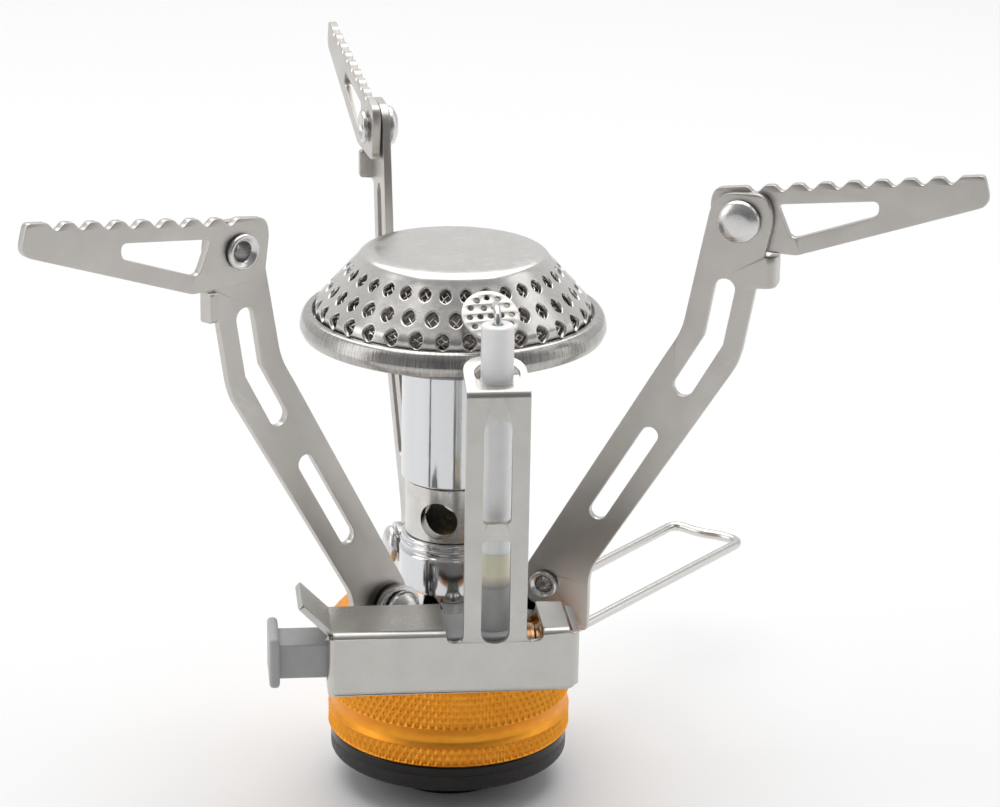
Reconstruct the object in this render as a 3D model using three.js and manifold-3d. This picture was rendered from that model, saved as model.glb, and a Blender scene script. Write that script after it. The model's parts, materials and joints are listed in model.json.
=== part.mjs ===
// Folding canister-top camping stove with a piezo igniter.
// Millimetres, +Z up. The model is laid out about the burner's own axis, and the
// outer group then moves the middle of the footprint to the origin.
import * as THREE from 'three';
import { mergeVertices } from 'three/addons/utils/BufferGeometryUtils.js';
import Module from 'manifold-3d';

// ---------------------------------------------------------------- dimensions

const GAP = 0.3;                  // space left between faces that touch
const RUN = 0.07;                 // radial clearance of a pin in its hole
const ROUND = 24;                 // sides of a turned part
const SMALL_ROUND = 14;           // sides of a pin or rivet
const FOOTPRINT = { x: 4.993, y: 13.248 };   // middle of the plan view from the burner axis

// valve body and canister connection
const BODY_R = 17.4;
const BODY_Z0 = 8.2;
const BODY_Z1 = 25.2;
const BODY_TOP_R = 15.6;
const KNURL_LOW_TOP = 11.2;
const KNURL_HIGH_BOTTOM = 14.0;
const GROOVE_R = 16.8;
const SOCKET_R = 8.5;
const SOCKET_Z1 = 11.2;
const SOCKET_BORE_R = 5.2;        // minor radius of a 7/16 inch canister thread
const SOCKET_BORE_Z = 7.8;
const PAD_R = 17.0;
const PAD_Z0 = 4.4;
const PAD_Z1 = 6.4;
const RING_Z0 = 6.7;
const RING_Z1 = 7.9;

// needle valve and wire handle
const VALVE_AZIMUTH = 47.8;
const VALVE_Z = 16.0;
const SPINDLE_R = 2.05;
const SPINDLE_HEAD_R = 2.9;
const CROSS_HOLE_S = 22.8;        // distance of the handle's pivot from the burner axis
const WIRE_R = 0.75;
const HANDLE_REACH = 69.9;
const HANDLE_NEAR_HALF = 6.0;
const HANDLE_FAR_HALF = 6.3;
const HANDLE_BEND = 2.2;          // how far a corner of the loop takes to turn
const HANDLE_WAVE = 1.6;          // sideways pull on the gently waved end bar

// burner column
const CARRIER_Z0 = 25.5;
const CARRIER_T = 1.0;
const CARRIER_R = 12.5;
const REST_END = 17.6;            // how far out each arm's rest on the carrier reaches
const TUBE_R = 7.1;
const AIR_TUBE_R = 6.55;
const AIR_HOLE_R = 2.7;
const AIR_HOLE_Z = 40.9;
const AIR_HOLE_AZIMUTH = -112;
const AIR_TUBE_Z0 = 37.9;
const AIR_TUBE_Z1 = 45.6;
const TUBE_Z1 = 62.4;

// burner head
const RIM_R = 21.4;
const RIM_Z0 = 66.95;
const RIM_Z1 = 70.3;
const CONE_FOOT = { r: 19.1, z: 71.4 };
const CONE_HEAD = { r: 13.2, z: 78.0 };
const CAP_TOP_Z = 78.9;
const CAP_FLAT_R = 11.8;
const SHEET = 0.6;
const HOLES_PER_ROW = 33;
const HOLES_TURN = 1.1;           // degrees that the pattern is turned from the front
const HOLE_ROWS = [
  { z: 76.5, width: 1.7, height: 2.2 },
  { z: 73.8, width: 1.8, height: 2.5 },
  { z: 71.4, width: 1.9, height: 2.8 },
];

// folding arms, drawn in the plane of one arm: u is the distance from the burner axis
const ARM_AZIMUTHS = [96.9, 214.9, 334.6];
const ARM_T = 1.2;
const LOWER_OFFSET = 1.9;         // lower arm's near face, counter-clockwise of the arm's plane
const UPPER_OFFSET = LOWER_OFFSET + ARM_T + GAP;
const BASE_PIVOT = [13.55, 30.45];
const ARM_PIVOT = [39.95, 86.65];
const BASE_PIN_R = 1.35;
const ARM_PIN_R = 1.5;
const TEETH = 8;
const TOOTH_PITCH = 3.77;
const TOOTH_DEPTH = 0.95;
const NOTCH_HALF = 1.45;          // half the width of the hollow between two teeth
const TOOTH_SLOPE = 0.1477;       // rise of the toothed edge per millimetre outward
const TAB_U = 45.2;               // outer face of the tab that stops the upper arm
const EAR_OFFSET = 4.2;           // carrier ear's near face
const EAR_T = 1.0;

// igniter
const BRACKET_T = 0.9;
const BRACKET_FRONT_Y = -31.1;
const BRACKET_BACK_Y = -21.0;
const BRACKET_X0 = -19.2;
const BRACKET_X1 = 14.6;
const BRACKET_Z0 = 25.5;
const BRACKET_Z1 = 34.7;
const STRIP_X = 3.1;
const STRIP_HALF = 4.25;
const STRIP_BEND_Z = 68.3;
const SLOT_HALF = 1.9;
const NOTCH_W = 2.3;
const NOTCH_Z = 33.1;
const TAB_RISE = 13.4;            // degrees above level
const TAB_LENGTH = 9.4;
const IGNITER_Y = -26.0;
const IGNITER_Z = 30.1;
const ELECTRODE_X = 3.3;
const ELECTRODE_Y = -26.3;
const GLUE_Z0 = 39.6;
const CERAMIC_R = 2.2;
const CERAMIC_Z0 = 43.8;
const CERAMIC_Z1 = 76.1;
const DISC_R = 4.0;
const DISC_TILT = 41;             // degrees, its near edge the lower one
const DISC_CENTRE = [3.2, -18.1, 74.5];
const BRACKET_SCREW_Y = -13.2;

// ---------------------------------------------------------------- materials

const material = (color, roughness, metalness) =>
  new THREE.MeshStandardMaterial({ color, roughness, metalness });

const finish = {
  stainless: material(0xb4b0a9, 0.38, 1.0),
  chrome: material(0xd8d9da, 0.12, 1.0),
  rivet: material(0xc9c8c4, 0.2, 1.0),
  orange: material(0xe08a12, 0.35, 0.9),
  black: material(0x141312, 0.25, 0.1),
  blackMetal: material(0x100f0e, 0.3, 0.6),
  rubber: material(0x2b2a2a, 0.7, 0.0),
  brass: material(0xb08d4c, 0.3, 1.0),
  darkSteel: material(0x4a4744, 0.45, 1.0),
  gauze: material(0x6e665e, 0.5, 1.0),
  grey: material(0x9a9fa1, 0.5, 0.0),
  ceramic: material(0xeef0f2, 0.3, 0.0),
  glue: material(0xd9c9a0, 0.4, 0.0),
  wire: material(0xc4c4c2, 0.25, 1.0),
};

// ---------------------------------------------------------------- helpers

const wasm = await Module();
wasm.setup();

const rad = THREE.MathUtils.degToRad;

function welded(geometry) {
  const clean = geometry.index ? geometry.toNonIndexed() : geometry.clone();
  clean.deleteAttribute('normal');
  clean.deleteAttribute('uv');
  return mergeVertices(clean, 1e-4);
}

function solid(geometry) {
  const clean = welded(geometry);
  const mesh = new wasm.Mesh({
    numProp: 3,
    vertProperties: new Float32Array(clean.attributes.position.array),
    triVerts: new Uint32Array(clean.index.array),
  });
  return new wasm.Manifold(mesh);
}

function geometryOf(manifold) {
  const mesh = manifold.getMesh();
  const geometry = new THREE.BufferGeometry();
  geometry.setAttribute('position', new THREE.BufferAttribute(mesh.vertProperties, 3));
  geometry.setIndex(new THREE.BufferAttribute(mesh.triVerts, 1));
  geometry.computeVertexNormals();
  return geometry;
}

function joined(...geometries) {
  let result = solid(geometries[0]);
  for (const geometry of geometries.slice(1)) {
    result = result.add(solid(geometry));
  }
  return geometryOf(result);
}

function cut(geometry, ...tools) {
  let result = solid(geometry);
  for (const tool of tools) {
    result = result.subtract(solid(tool));
  }
  return geometryOf(result);
}

// A turned part about +Z. The profile is [radius, height] pairs, going up the outside.
function turned(profile, sides = ROUND) {
  const points = profile.map(([r, z]) => new THREE.Vector2(r, z));
  return new THREE.LatheGeometry(points, sides).rotateX(Math.PI / 2);
}

function tubeProfile(inner, outer, z0, z1) {
  return [[inner, z0], [outer, z0], [outer, z1], [inner, z1], [inner, z0]];
}

function rod(radius, z0, z1, sides = SMALL_ROUND) {
  return turned([[0, z0], [radius, z0], [radius, z1], [0, z1]], sides);
}

function box(x0, x1, y0, y1, z0, z1) {
  const geometry = new THREE.BoxGeometry(x1 - x0, y1 - y0, z1 - z0);
  return geometry.translate((x0 + x1) / 2, (y0 + y1) / 2, (z0 + z1) / 2);
}

// Traces corners as [x, y, radius], rounding each corner by its radius. A corner never
// takes more than half of the edge next to it.
function trace(path, corners) {
  const at = (i) => new THREE.Vector2(...corners[(i + corners.length) % corners.length]);
  corners.forEach(([x, y, radius = 0], i) => {
    const here = new THREE.Vector2(x, y);
    const [before, after] = [at(i - 1).sub(here), at(i + 1).sub(here)];
    const reach = Math.min(radius, before.length() * 0.49, after.length() * 0.49);
    const from = before.setLength(reach).add(here);
    const to = after.setLength(reach).add(here);
    if (i === 0) path.moveTo(from.x, from.y);
    else path.lineTo(from.x, from.y);
    if (reach > 0) path.quadraticCurveTo(x, y, to.x, to.y);
  });
  path.closePath();
  return path;
}

const outline = (corners) => trace(new THREE.Shape(), corners);
const opening = (corners) => trace(new THREE.Path(), corners);

function polygon(path, [x, y], radius, sides) {
  for (let i = 0; i < sides; i += 1) {
    const angle = (2 * Math.PI * i) / sides;
    const px = x + radius * Math.cos(angle);
    const py = y + radius * Math.sin(angle);
    if (i === 0) path.moveTo(px, py);
    else path.lineTo(px, py);
  }
  path.closePath();
  return path;
}

function roundHole(centre, radius, sides = SMALL_ROUND) {
  return polygon(new THREE.Path(), centre, radius, sides);
}

// A round-ended slot of a given half width along a line of points.
function slot(points, half) {
  const [first, last] = [points[0], points[points.length - 1]];
  const sides = { left: [], right: [] };
  points.forEach((point, i) => {
    const before = points[Math.max(i - 1, 0)];
    const after = points[Math.min(i + 1, points.length - 1)];
    const along = new THREE.Vector2(after[0] - before[0], after[1] - before[1]).normalize();
    sides.left.push([point[0] - along.y * half, point[1] + along.x * half]);
    sides.right.push([point[0] + along.y * half, point[1] - along.x * half]);
  });
  const end = (tip, inner) => {
    const away = new THREE.Vector2(tip[0] - inner[0], tip[1] - inner[1]).normalize();
    return Math.atan2(away.y, away.x);
  };
  const arc = (centre, facing) => {
    const steps = 6;
    return Array.from({ length: steps - 1 }, (_, i) => {
      const angle = facing + Math.PI / 2 - (Math.PI * (i + 1)) / steps;
      return [centre[0] + half * Math.cos(angle), centre[1] + half * Math.sin(angle)];
    });
  };
  const corners = [
    ...sides.left,
    ...arc(last, end(last, points[points.length - 2])),
    ...sides.right.reverse(),
    ...arc(first, end(first, points[1])),
  ];
  return opening(corners);
}

function extruded(shape, depth, curveSegments = 4) {
  return new THREE.ExtrudeGeometry(shape, { depth, bevelEnabled: false, curveSegments });
}

// A flat plate drawn in X and Z, from offset to offset + thickness along +Y.
function uprightPlate(shape, offset, thickness, curveSegments) {
  const geometry = extruded(shape, thickness, curveSegments);
  return geometry.rotateX(Math.PI / 2).translate(0, offset + thickness, 0);
}

// A flat plate drawn in X and Y, from z0 to z0 + thickness.
function levelPlate(shape, z0, thickness, curveSegments) {
  return extruded(shape, thickness, curveSegments).translate(0, 0, z0);
}

function wireAlong(curve, radius, steps, sides = 8) {
  const section = polygon(new THREE.Shape(), [0, 0], radius, sides);
  return new THREE.ExtrudeGeometry(section, { steps, bevelEnabled: false, extrudePath: curve });
}

function part(name, geometry, look) {
  const mesh = new THREE.Mesh(welded(geometry), look.clone());
  mesh.name = name;
  mesh.geometry.computeVertexNormals();
  return mesh;
}

function groupOf(...members) {
  const group = new THREE.Group();
  group.add(...members);
  return group;
}

// ---------------------------------------------------------------- canister connection

function threadedSocket() {
  return turned([
    [1.6, SOCKET_BORE_Z],
    [SOCKET_BORE_R, SOCKET_BORE_Z],
    [SOCKET_BORE_R, 0.5],
    [SOCKET_BORE_R + 0.5, 0],
    [SOCKET_R, 0],
    [SOCKET_R, SOCKET_Z1],
    [1.6, SOCKET_Z1],
    [1.6, SOCKET_BORE_Z],
  ]);
}

function ringOf(centreRadius, sectionRadius, z, sides = 16, sectionSides = 6) {
  const profile = [];
  for (let i = 0; i <= sectionSides; i += 1) {
    const angle = (2 * Math.PI * (i % sectionSides)) / sectionSides;
    profile.push([centreRadius + sectionRadius * Math.cos(angle), z + sectionRadius * Math.sin(angle)]);
  }
  return turned(profile, sides);
}

function openerPin() {
  return turned([
    [0.45, 4.6],
    [0.8, 4.6],
    [0.9, 5.6],
    [2.5, 5.9],
    [2.5, 7.4],
    [1.5, 7.5],
    [1.5, 11.0],
    [0.45, 11.0],
    [0.45, 4.6],
  ], SMALL_ROUND);
}

function valveBody() {
  const blank = turned([
    [1.5, SOCKET_Z1 + GAP],
    [SOCKET_R + GAP, SOCKET_Z1 + GAP],
    [SOCKET_R + GAP, BODY_Z0],
    [BODY_R - 0.3, BODY_Z0],
    [BODY_R, BODY_Z0 + 0.4],
    [BODY_R, KNURL_LOW_TOP],
    [GROOVE_R, KNURL_LOW_TOP + 0.9],
    [GROOVE_R, KNURL_HIGH_BOTTOM - 0.9],
    [BODY_R, KNURL_HIGH_BOTTOM],
    [BODY_R, BODY_Z1 - 1.8],
    [BODY_TOP_R, BODY_Z1],
    [5.0, BODY_Z1],
    [5.0, 19.7],
    [1.5, 19.7],
    [1.5, SOCKET_Z1 + GAP],
  ]);
  const spindleBore = alongValve(rod(2.2, 0.5, 14));
  const glandBore = alongValve(rod(3.5, 12.7, 19));
  const screwHole = rod(1.0, 17, 27).translate(0, BRACKET_SCREW_Y, 0);
  return cut(blank, spindleBore, glandBore, screwHole);
}

// ---------------------------------------------------------------- needle valve

// Lays a part turned about +Z along the valve's axis, radially outward.
function alongValve(geometry) {
  return geometry.rotateY(Math.PI / 2).rotateZ(rad(VALVE_AZIMUTH)).translate(0, 0, VALVE_Z);
}

function valveSpindle() {
  const blank = turned([
    [0, 1.8],
    [0.25, 1.8],
    [1.4, 6.0],
    [SPINDLE_R, 6.4],
    [SPINDLE_R, 9.4],
    [1.0, 9.4],
    [1.0, 11.0],
    [SPINDLE_R, 11.0],
    [SPINDLE_R, 20.8],
    [SPINDLE_HEAD_R, 20.8],
    [SPINDLE_HEAD_R, 24.8],
    [0, 24.8],
  ], SMALL_ROUND);
  const crossHole = rod(WIRE_R + 0.1, -5, 5, 12).rotateX(Math.PI / 2);
  return cut(blank, crossHole.translate(0, 0, CROSS_HOLE_S));
}

function glandNut() {
  const sleeve = turned(tubeProfile(SPINDLE_R + RUN, 3.2, 13.0, 18.2), SMALL_ROUND);
  const hexagon = turned(tubeProfile(SPINDLE_R + RUN, 4.0, 17.8, 20.4), 6);
  const bore = rod(SPINDLE_R + RUN, 12, 22);
  return cut(joined(sleeve, hexagon), bore);
}

// The wire lies in the plane of the valve axis (x) and its cross hole (y). It leaves one end
// of the cross hole, runs round the loop and comes back to the other end.
function handleWire() {
  const end = HANDLE_REACH - WIRE_R;
  const point = (x, y) => new THREE.Vector3(x, y, 0);
  const path = new THREE.CurvePath();
  const line = (a, b) => path.add(new THREE.LineCurve3(a, b));
  const bend = (a, c, b) => path.add(new THREE.QuadraticBezierCurve3(a, c, b));
  const bar = HANDLE_FAR_HALF - HANDLE_BEND;
  const side = (way) => [
    point(CROSS_HOLE_S, way),
    point(CROSS_HOLE_S, way * (HANDLE_NEAR_HALF - 1.2)),
    point(CROSS_HOLE_S, way * HANDLE_NEAR_HALF),
    point(CROSS_HOLE_S + 1.2, way * HANDLE_NEAR_HALF),
    point(end - HANDLE_BEND, way * HANDLE_FAR_HALF),
    point(end, way * HANDLE_FAR_HALF),
    point(end, way * bar),
  ];
  const [out, back] = [side(-1), side(1).reverse()];
  line(out[0], out[1]);
  bend(out[1], out[2], out[3]);
  line(out[3], out[4]);
  bend(out[4], out[5], out[6]);
  const pulls = [point(end + HANDLE_WAVE, -bar / 3), point(end - HANDLE_WAVE * 1.4, bar / 3)];
  path.add(new THREE.CubicBezierCurve3(out[6], ...pulls, back[0]));
  bend(back[0], back[1], back[2]);
  line(back[2], back[3]);
  bend(back[3], back[4], back[5]);
  line(back[5], back[6]);
  return wireAlong(path, WIRE_R, 76, 6);
}

function valveParts() {
  const handle = part('valve_handle', handleWire(), finish.wire);
  handle.rotation.z = rad(VALVE_AZIMUTH);
  handle.position.z = VALVE_Z;
  return [
    part('valve_spindle', alongValve(valveSpindle()), finish.brass),
    part('spindle_seal', alongValve(ringOf(1.6, 0.42, 10.2)), finish.rubber),
    part('gland_nut', alongValve(glandNut()), finish.rivet),
    handle,
  ];
}

// ---------------------------------------------------------------- burner column

function gasJet() {
  return turned([
    [0.6, 20.2],
    [3.0, 20.2],
    [3.0, 26.0],
    [1.8, 27.0],
    [1.5, 33.0],
    [0.6, 33.0],
    [0.6, 20.2],
  ], SMALL_ROUND);
}

function tubeSocket() {
  return turned([
    [3.3, 20.0],
    [4.7, 20.0],
    [4.7, 26.8],
    [6.5, 26.8],
    [7.3, 29.8],
    [7.3, 35.3],
    [6.9, 35.8],
    [7.1, 36.3],
    [7.0, 37.3],
    [6.7, 37.6],
    [5.5, 37.6],
    [5.5, 30.5],
    [3.3, 30.5],
    [3.3, 20.0],
  ]);
}

function airTube() {
  const blank = turned([
    [4.5, 32.0],
    [5.2, 32.0],
    [5.2, AIR_TUBE_Z0 - 0.01],
    [AIR_TUBE_R, AIR_TUBE_Z0],
    [AIR_TUBE_R, AIR_TUBE_Z1],
    [5.8, AIR_TUBE_Z1 + 0.05],
    [5.8, 52.0],
    [4.5, 52.0],
    [4.5, 32.0],
  ]);
  const drills = [0, 90].map((turn) => {
    const drill = rod(AIR_HOLE_R, -9, 9).rotateY(Math.PI / 2);
    return drill.rotateZ(rad(AIR_HOLE_AZIMUTH + turn)).translate(0, 0, AIR_HOLE_Z);
  });
  return cut(blank, ...drills);
}

function burnerTube() {
  return turned([
    [6.1, AIR_TUBE_Z1 + GAP],
    [6.6, AIR_TUBE_Z1 + GAP],
    [TUBE_R, 46.9],
    [TUBE_R, TUBE_Z1],
    [6.1, TUBE_Z1],
    [6.1, AIR_TUBE_Z1 + GAP],
  ]);
}

// ---------------------------------------------------------------- burner head

// A pressed dish: its neck plugs into the tube, and its edge lies inside the rim.
function burnerCup() {
  return turned([
    [5.2, 56.0],
    [5.8, 56.0],
    [5.8, 62.5],
    [7.3, 62.85],
    [12.0, 63.7],
    [17.0, 65.9],
    [20.0, 66.6],
    [20.0, 67.3],
    [16.8, 66.6],
    [11.8, 64.5],
    [7.0, 63.6],
    [5.2, 62.9],
    [5.2, 56.0],
  ]);
}

function burnerRim() {
  return turned([
    [19.6, RIM_Z1 - 0.6],
    [20.2, RIM_Z1 - 0.6],
    [20.3, RIM_Z0],
    [20.9, RIM_Z0],
    [RIM_R, 67.4],
    [RIM_R, 68.2],
    [20.6, RIM_Z1],
    [19.6, RIM_Z1],
    [19.6, RIM_Z1 - 0.6],
  ]);
}

function coneRadius(z) {
  const share = (z - CONE_FOOT.z) / (CONE_HEAD.z - CONE_FOOT.z);
  return CONE_FOOT.r + share * (CONE_HEAD.r - CONE_FOOT.r);
}

function capHoleTools() {
  const slope = Math.atan2(CONE_FOOT.r - CONE_HEAD.r, CONE_HEAD.z - CONE_FOOT.z);
  const tools = [];
  HOLE_ROWS.forEach(({ z, width, height }, row) => {
    for (let i = 0; i < HOLES_PER_ROW; i += 1) {
      const lens = outline([[0, -height / 2], [width / 2, 0], [0, height / 2], [-width / 2, 0]]);
      const tool = uprightPlate(lens, -1.5, 3).rotateX(slope);
      const turn = ((i + (row % 2 ? 0.5 : 0)) / HOLES_PER_ROW) * 2 * Math.PI;
      tool.translate(0, -coneRadius(z), z).rotateZ(turn + rad(HOLES_TURN));
      tools.push(tool);
    }
  });
  return tools;
}

function burnerCap() {
  const inner = SHEET * 0.75;
  const blank = turned([
    [0, CAP_TOP_Z - SHEET],
    [CAP_FLAT_R - 0.2, CAP_TOP_Z - SHEET],
    [CONE_HEAD.r - inner, CONE_HEAD.z - inner],
    [CONE_FOOT.r - inner, CONE_FOOT.z - inner],
    [18.75, 69.0],
    [19.2, 69.0],
    [19.2, CONE_FOOT.z - 0.4],
    [CONE_FOOT.r, CONE_FOOT.z],
    [CONE_HEAD.r, CONE_HEAD.z],
    [12.6, 78.6],
    [CAP_FLAT_R, CAP_TOP_Z],
    [0, CAP_TOP_Z],
  ], HOLES_PER_ROW);
  return cut(blank, ...capHoleTools());
}

function flameMesh() {
  const gap = 1.1;
  const thick = 0.4;
  const [foot, top] = [CONE_FOOT.r - gap, coneRadius(77.2) - gap];
  return turned([
    [foot - thick, 70.0],
    [foot, 70.0],
    [foot, CONE_FOOT.z],
    [top, 77.2],
    [top - thick, 77.2],
    [foot - thick, CONE_FOOT.z],
    [foot - thick, 70.0],
  ]);
}

function ignitionDisc() {
  const holeR = 0.45;
  const shape = polygon(new THREE.Shape(), [0, 0], DISC_R, 18);
  shape.holes.push(roundHole([0, 0], holeR, 4));
  for (const [count, radius] of [[6, 1.45], [12, 2.9]]) {
    for (let i = 0; i < count; i += 1) {
      const angle = (2 * Math.PI * i) / count;
      const centre = [radius * Math.cos(angle), radius * Math.sin(angle)];
      shape.holes.push(roundHole(centre, holeR, 4));
    }
  }
  const disc = extruded(shape, 0.4);
  const azimuth = Math.atan2(DISC_CENTRE[1], DISC_CENTRE[0]);
  return disc.rotateX(rad(DISC_TILT)).rotateZ(azimuth + Math.PI / 2).translate(...DISC_CENTRE);
}

// ---------------------------------------------------------------- folding arms

function lowerArm() {
  const plate = outline([
    [10.55, 32.5, 1.2],
    [11.0, 27.6, 2.0],
    [13.0, 26.8, 0.6],
    [17.9, 26.8, 0.3],
    [17.9, 24.1, 0.3],
    [20.05, 24.1, 0.5],
    [20.05, 33.1, 1.5],
    [40.2, 66.0, 2.0],
    [40.9, 68.2, 0.8],
    [42.5, 77.4, 0.4],
    [TAB_U, 77.7, 0.4],
    [TAB_U, 81.9, 0.4],
    [43.5, 81.9, 0.4],
    [44.6, 87.2, 2.5],
    [43.4, 90.6, 3.0],
    [36.2, 90.2, 3.0],
    [35.0, 84.0, 1.5],
    [32.4, 70.3, 2.0],
    [30.4, 67.0, 1.5],
  ]);
  plate.holes.push(roundHole(BASE_PIVOT, BASE_PIN_R + RUN));
  plate.holes.push(roundHole(ARM_PIVOT, ARM_PIN_R + RUN));
  plate.holes.push(slot([[38.2, 76.9], [36.9, 69.4], [32.9, 62.3]], 1.45));
  plate.holes.push(slot([[28.3, 54.6], [21.2, 42.5]], 1.25));
  const flat = uprightPlate(plate, LOWER_OFFSET, ARM_T);
  const tabReach = UPPER_OFFSET + ARM_T + GAP;
  const stopTab = box(TAB_U - ARM_T, TAB_U, LOWER_OFFSET + 0.2, tabReach, 77.9, 81.9);
  return joined(flat, stopTab);
}

function upperArm() {
  const topEdge = (u) => 91.0 + (u - 39.8) * TOOTH_SLOPE;
  const shape = new THREE.Shape();
  shape.moveTo(47.6, 82.2);
  shape.lineTo(71.8, 91.25);
  shape.quadraticCurveTo(73.3, 91.8, 72.85, 93.2);
  shape.lineTo(72.35, 95.0);
  shape.quadraticCurveTo(72.1, topEdge(72.1), 71.5, topEdge(71.5));
  for (let i = TEETH - 1; i >= 0; i -= 1) {
    const centre = 41.55 + i * TOOTH_PITCH;
    const low = topEdge(centre) - TOOTH_DEPTH;
    const [outer, inner] = [centre + NOTCH_HALF, centre - NOTCH_HALF];
    shape.lineTo(outer, topEdge(outer));
    shape.quadraticCurveTo(centre + NOTCH_HALF * 0.6, low, centre, low);
    shape.quadraticCurveTo(centre - NOTCH_HALF * 0.6, low, inner, topEdge(inner));
  }
  shape.lineTo(37.4, topEdge(37.4));
  shape.quadraticCurveTo(35.2, topEdge(35.2), 35.2, 88.6);
  shape.lineTo(36.0, 83.8);
  shape.quadraticCurveTo(36.3, 82.3, 38.0, 82.25);
  shape.lineTo(46.6, 82.2);
  shape.closePath();
  shape.holes.push(roundHole(ARM_PIVOT, ARM_PIN_R + RUN));
  shape.holes.push(opening([
    [44.6, 89.1, 0.9],
    [46.8, 84.3, 1.2],
    [58.5, 88.7, 1.2],
    [58.5, 91.0, 1.2],
  ]));
  return uprightPlate(shape, UPPER_OFFSET, ARM_T, 3);
}

// A rivet about the arm's tangential direction: heads outside the plates that it joins.
function rivet([u, z], pin, dome, flare, from, to, domeAtEnd) {
  const domeHeight = 1.5;
  const flareHeight = 0.7;
  const profile = [
    [0, from - flareHeight + 0.4],
    [pin * 0.7, from - flareHeight + 0.4],
    [flare - 0.3, from - flareHeight],
    [flare, from],
    [pin, from],
    [pin, to],
    [dome, to],
    [dome * 0.72, to + domeHeight * 0.78],
    [0, to + domeHeight],
  ];
  const turnedPin = turned(profile, SMALL_ROUND);
  const tilt = domeAtEnd ? -Math.PI / 2 : Math.PI / 2;
  return turnedPin.rotateX(tilt).translate(u, 0, z);
}

function arm(index, azimuth) {
  const number = index + 1;
  const earBack = EAR_OFFSET + EAR_T;
  const upperBack = UPPER_OFFSET + ARM_T;
  const washer = turned(tubeProfile(BASE_PIN_R + RUN, 3.0, 3.4, 3.9), SMALL_ROUND);
  const washerY = washer.rotateX(-Math.PI / 2).translate(BASE_PIVOT[0], 0, BASE_PIVOT[1]);
  const basePin = rivet(BASE_PIVOT, BASE_PIN_R, 2.75, 2.05, LOWER_OFFSET - GAP, earBack + GAP, true);
  const armPin = rivet(ARM_PIVOT, ARM_PIN_R, 3.0, 2.45, -upperBack - GAP, -LOWER_OFFSET + GAP, false);
  const group = groupOf(
    part(`lower_arm_${number}`, lowerArm(), finish.stainless),
    part(`upper_arm_${number}`, upperArm(), finish.stainless),
    part(`base_washer_${number}`, washerY, finish.darkSteel),
    part(`base_rivet_${number}`, basePin, finish.rivet),
    part(`arm_rivet_${number}`, armPin, finish.rivet),
  );
  group.rotation.z = rad(azimuth);
  return group;
}

// The carrier is one stamped plate: a disc with room for the bracket's tongue, three rests for
// the arms' feet and three ears.
function armCarrier() {
  const top = CARRIER_Z0 + CARRIER_T;
  let result = solid(rod(CARRIER_R, CARRIER_Z0, top, ROUND));
  for (const azimuth of ARM_AZIMUTHS) {
    const rest = box(6, REST_END, 0.9, EAR_OFFSET + EAR_T, CARRIER_Z0, top);
    const ear = outline([
      [10.0, CARRIER_Z0 + 0.1],
      [17.1, CARRIER_Z0 + 0.1],
      [17.1, 33.5, 3.2],
      [10.0, 33.5, 3.2],
    ]);
    ear.holes.push(roundHole(BASE_PIVOT, BASE_PIN_R + RUN));
    const upright = uprightPlate(ear, EAR_OFFSET, EAR_T);
    result = result.add(solid(rest.rotateZ(rad(azimuth)))).add(solid(upright.rotateZ(rad(azimuth))));
  }
  const centreHole = rod(5.0, 20, 30, ROUND);
  const tongueRoom = box(-3.8, 3.8, -16, -9.3, 20, 30);
  return geometryOf(result.subtract(solid(centreHole)).subtract(solid(tongueRoom)));
}

// ---------------------------------------------------------------- igniter

function bracketFace() {
  const left = STRIP_X - STRIP_HALF;
  const right = STRIP_X + STRIP_HALF;
  const notch = (x0, x1) => [[x0, BRACKET_Z1], [x0, NOTCH_Z, 1.0], [x1, NOTCH_Z, 1.0]];
  const face = outline([
    [BRACKET_X0, BRACKET_Z0],
    [BRACKET_X1 - 0.9, BRACKET_Z0],
    [BRACKET_X1, BRACKET_Z0 + 0.9],
    [BRACKET_X1, BRACKET_Z1],
    ...notch(right + NOTCH_W, right),
    [right, STRIP_BEND_Z],
    [left, STRIP_BEND_Z],
    [left, NOTCH_Z, 1.0],
    [left - NOTCH_W, NOTCH_Z, 1.0],
    [left - NOTCH_W, BRACKET_Z1],
    [BRACKET_X0, BRACKET_Z1],
  ]);
  const [x0, x1] = [STRIP_X - SLOT_HALF, STRIP_X + SLOT_HALF];
  face.holes.push(opening([[x0, 50.0, 0.5], [x0, 64.5, 1.85], [x1, 64.5, 1.85], [x1, 50.0, 0.5]]));
  face.holes.push(opening([[x0, 32.9, 1.85], [x0, 47.5, 0.5], [x1, 47.5, 0.5], [x1, 32.9, 1.85]]));
  return uprightPlate(face, BRACKET_FRONT_Y, BRACKET_T);
}

// The tab at the top of the strip leans back and up, and holds the ceramic in its hole.
function bracketTab() {
  const half = STRIP_HALF;
  const shape = outline([[-half, 0], [half, 0], [half, TAB_LENGTH, 4.0], [-half, TAB_LENGTH, 4.0]]);
  shape.holes.push(roundHole([ELECTRODE_X - STRIP_X, 4.85], 3.0));
  const tab = levelPlate(shape, -BRACKET_T, BRACKET_T);
  return tab.rotateX(rad(TAB_RISE)).translate(STRIP_X, BRACKET_FRONT_Y + 0.05, STRIP_BEND_Z);
}

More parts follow.
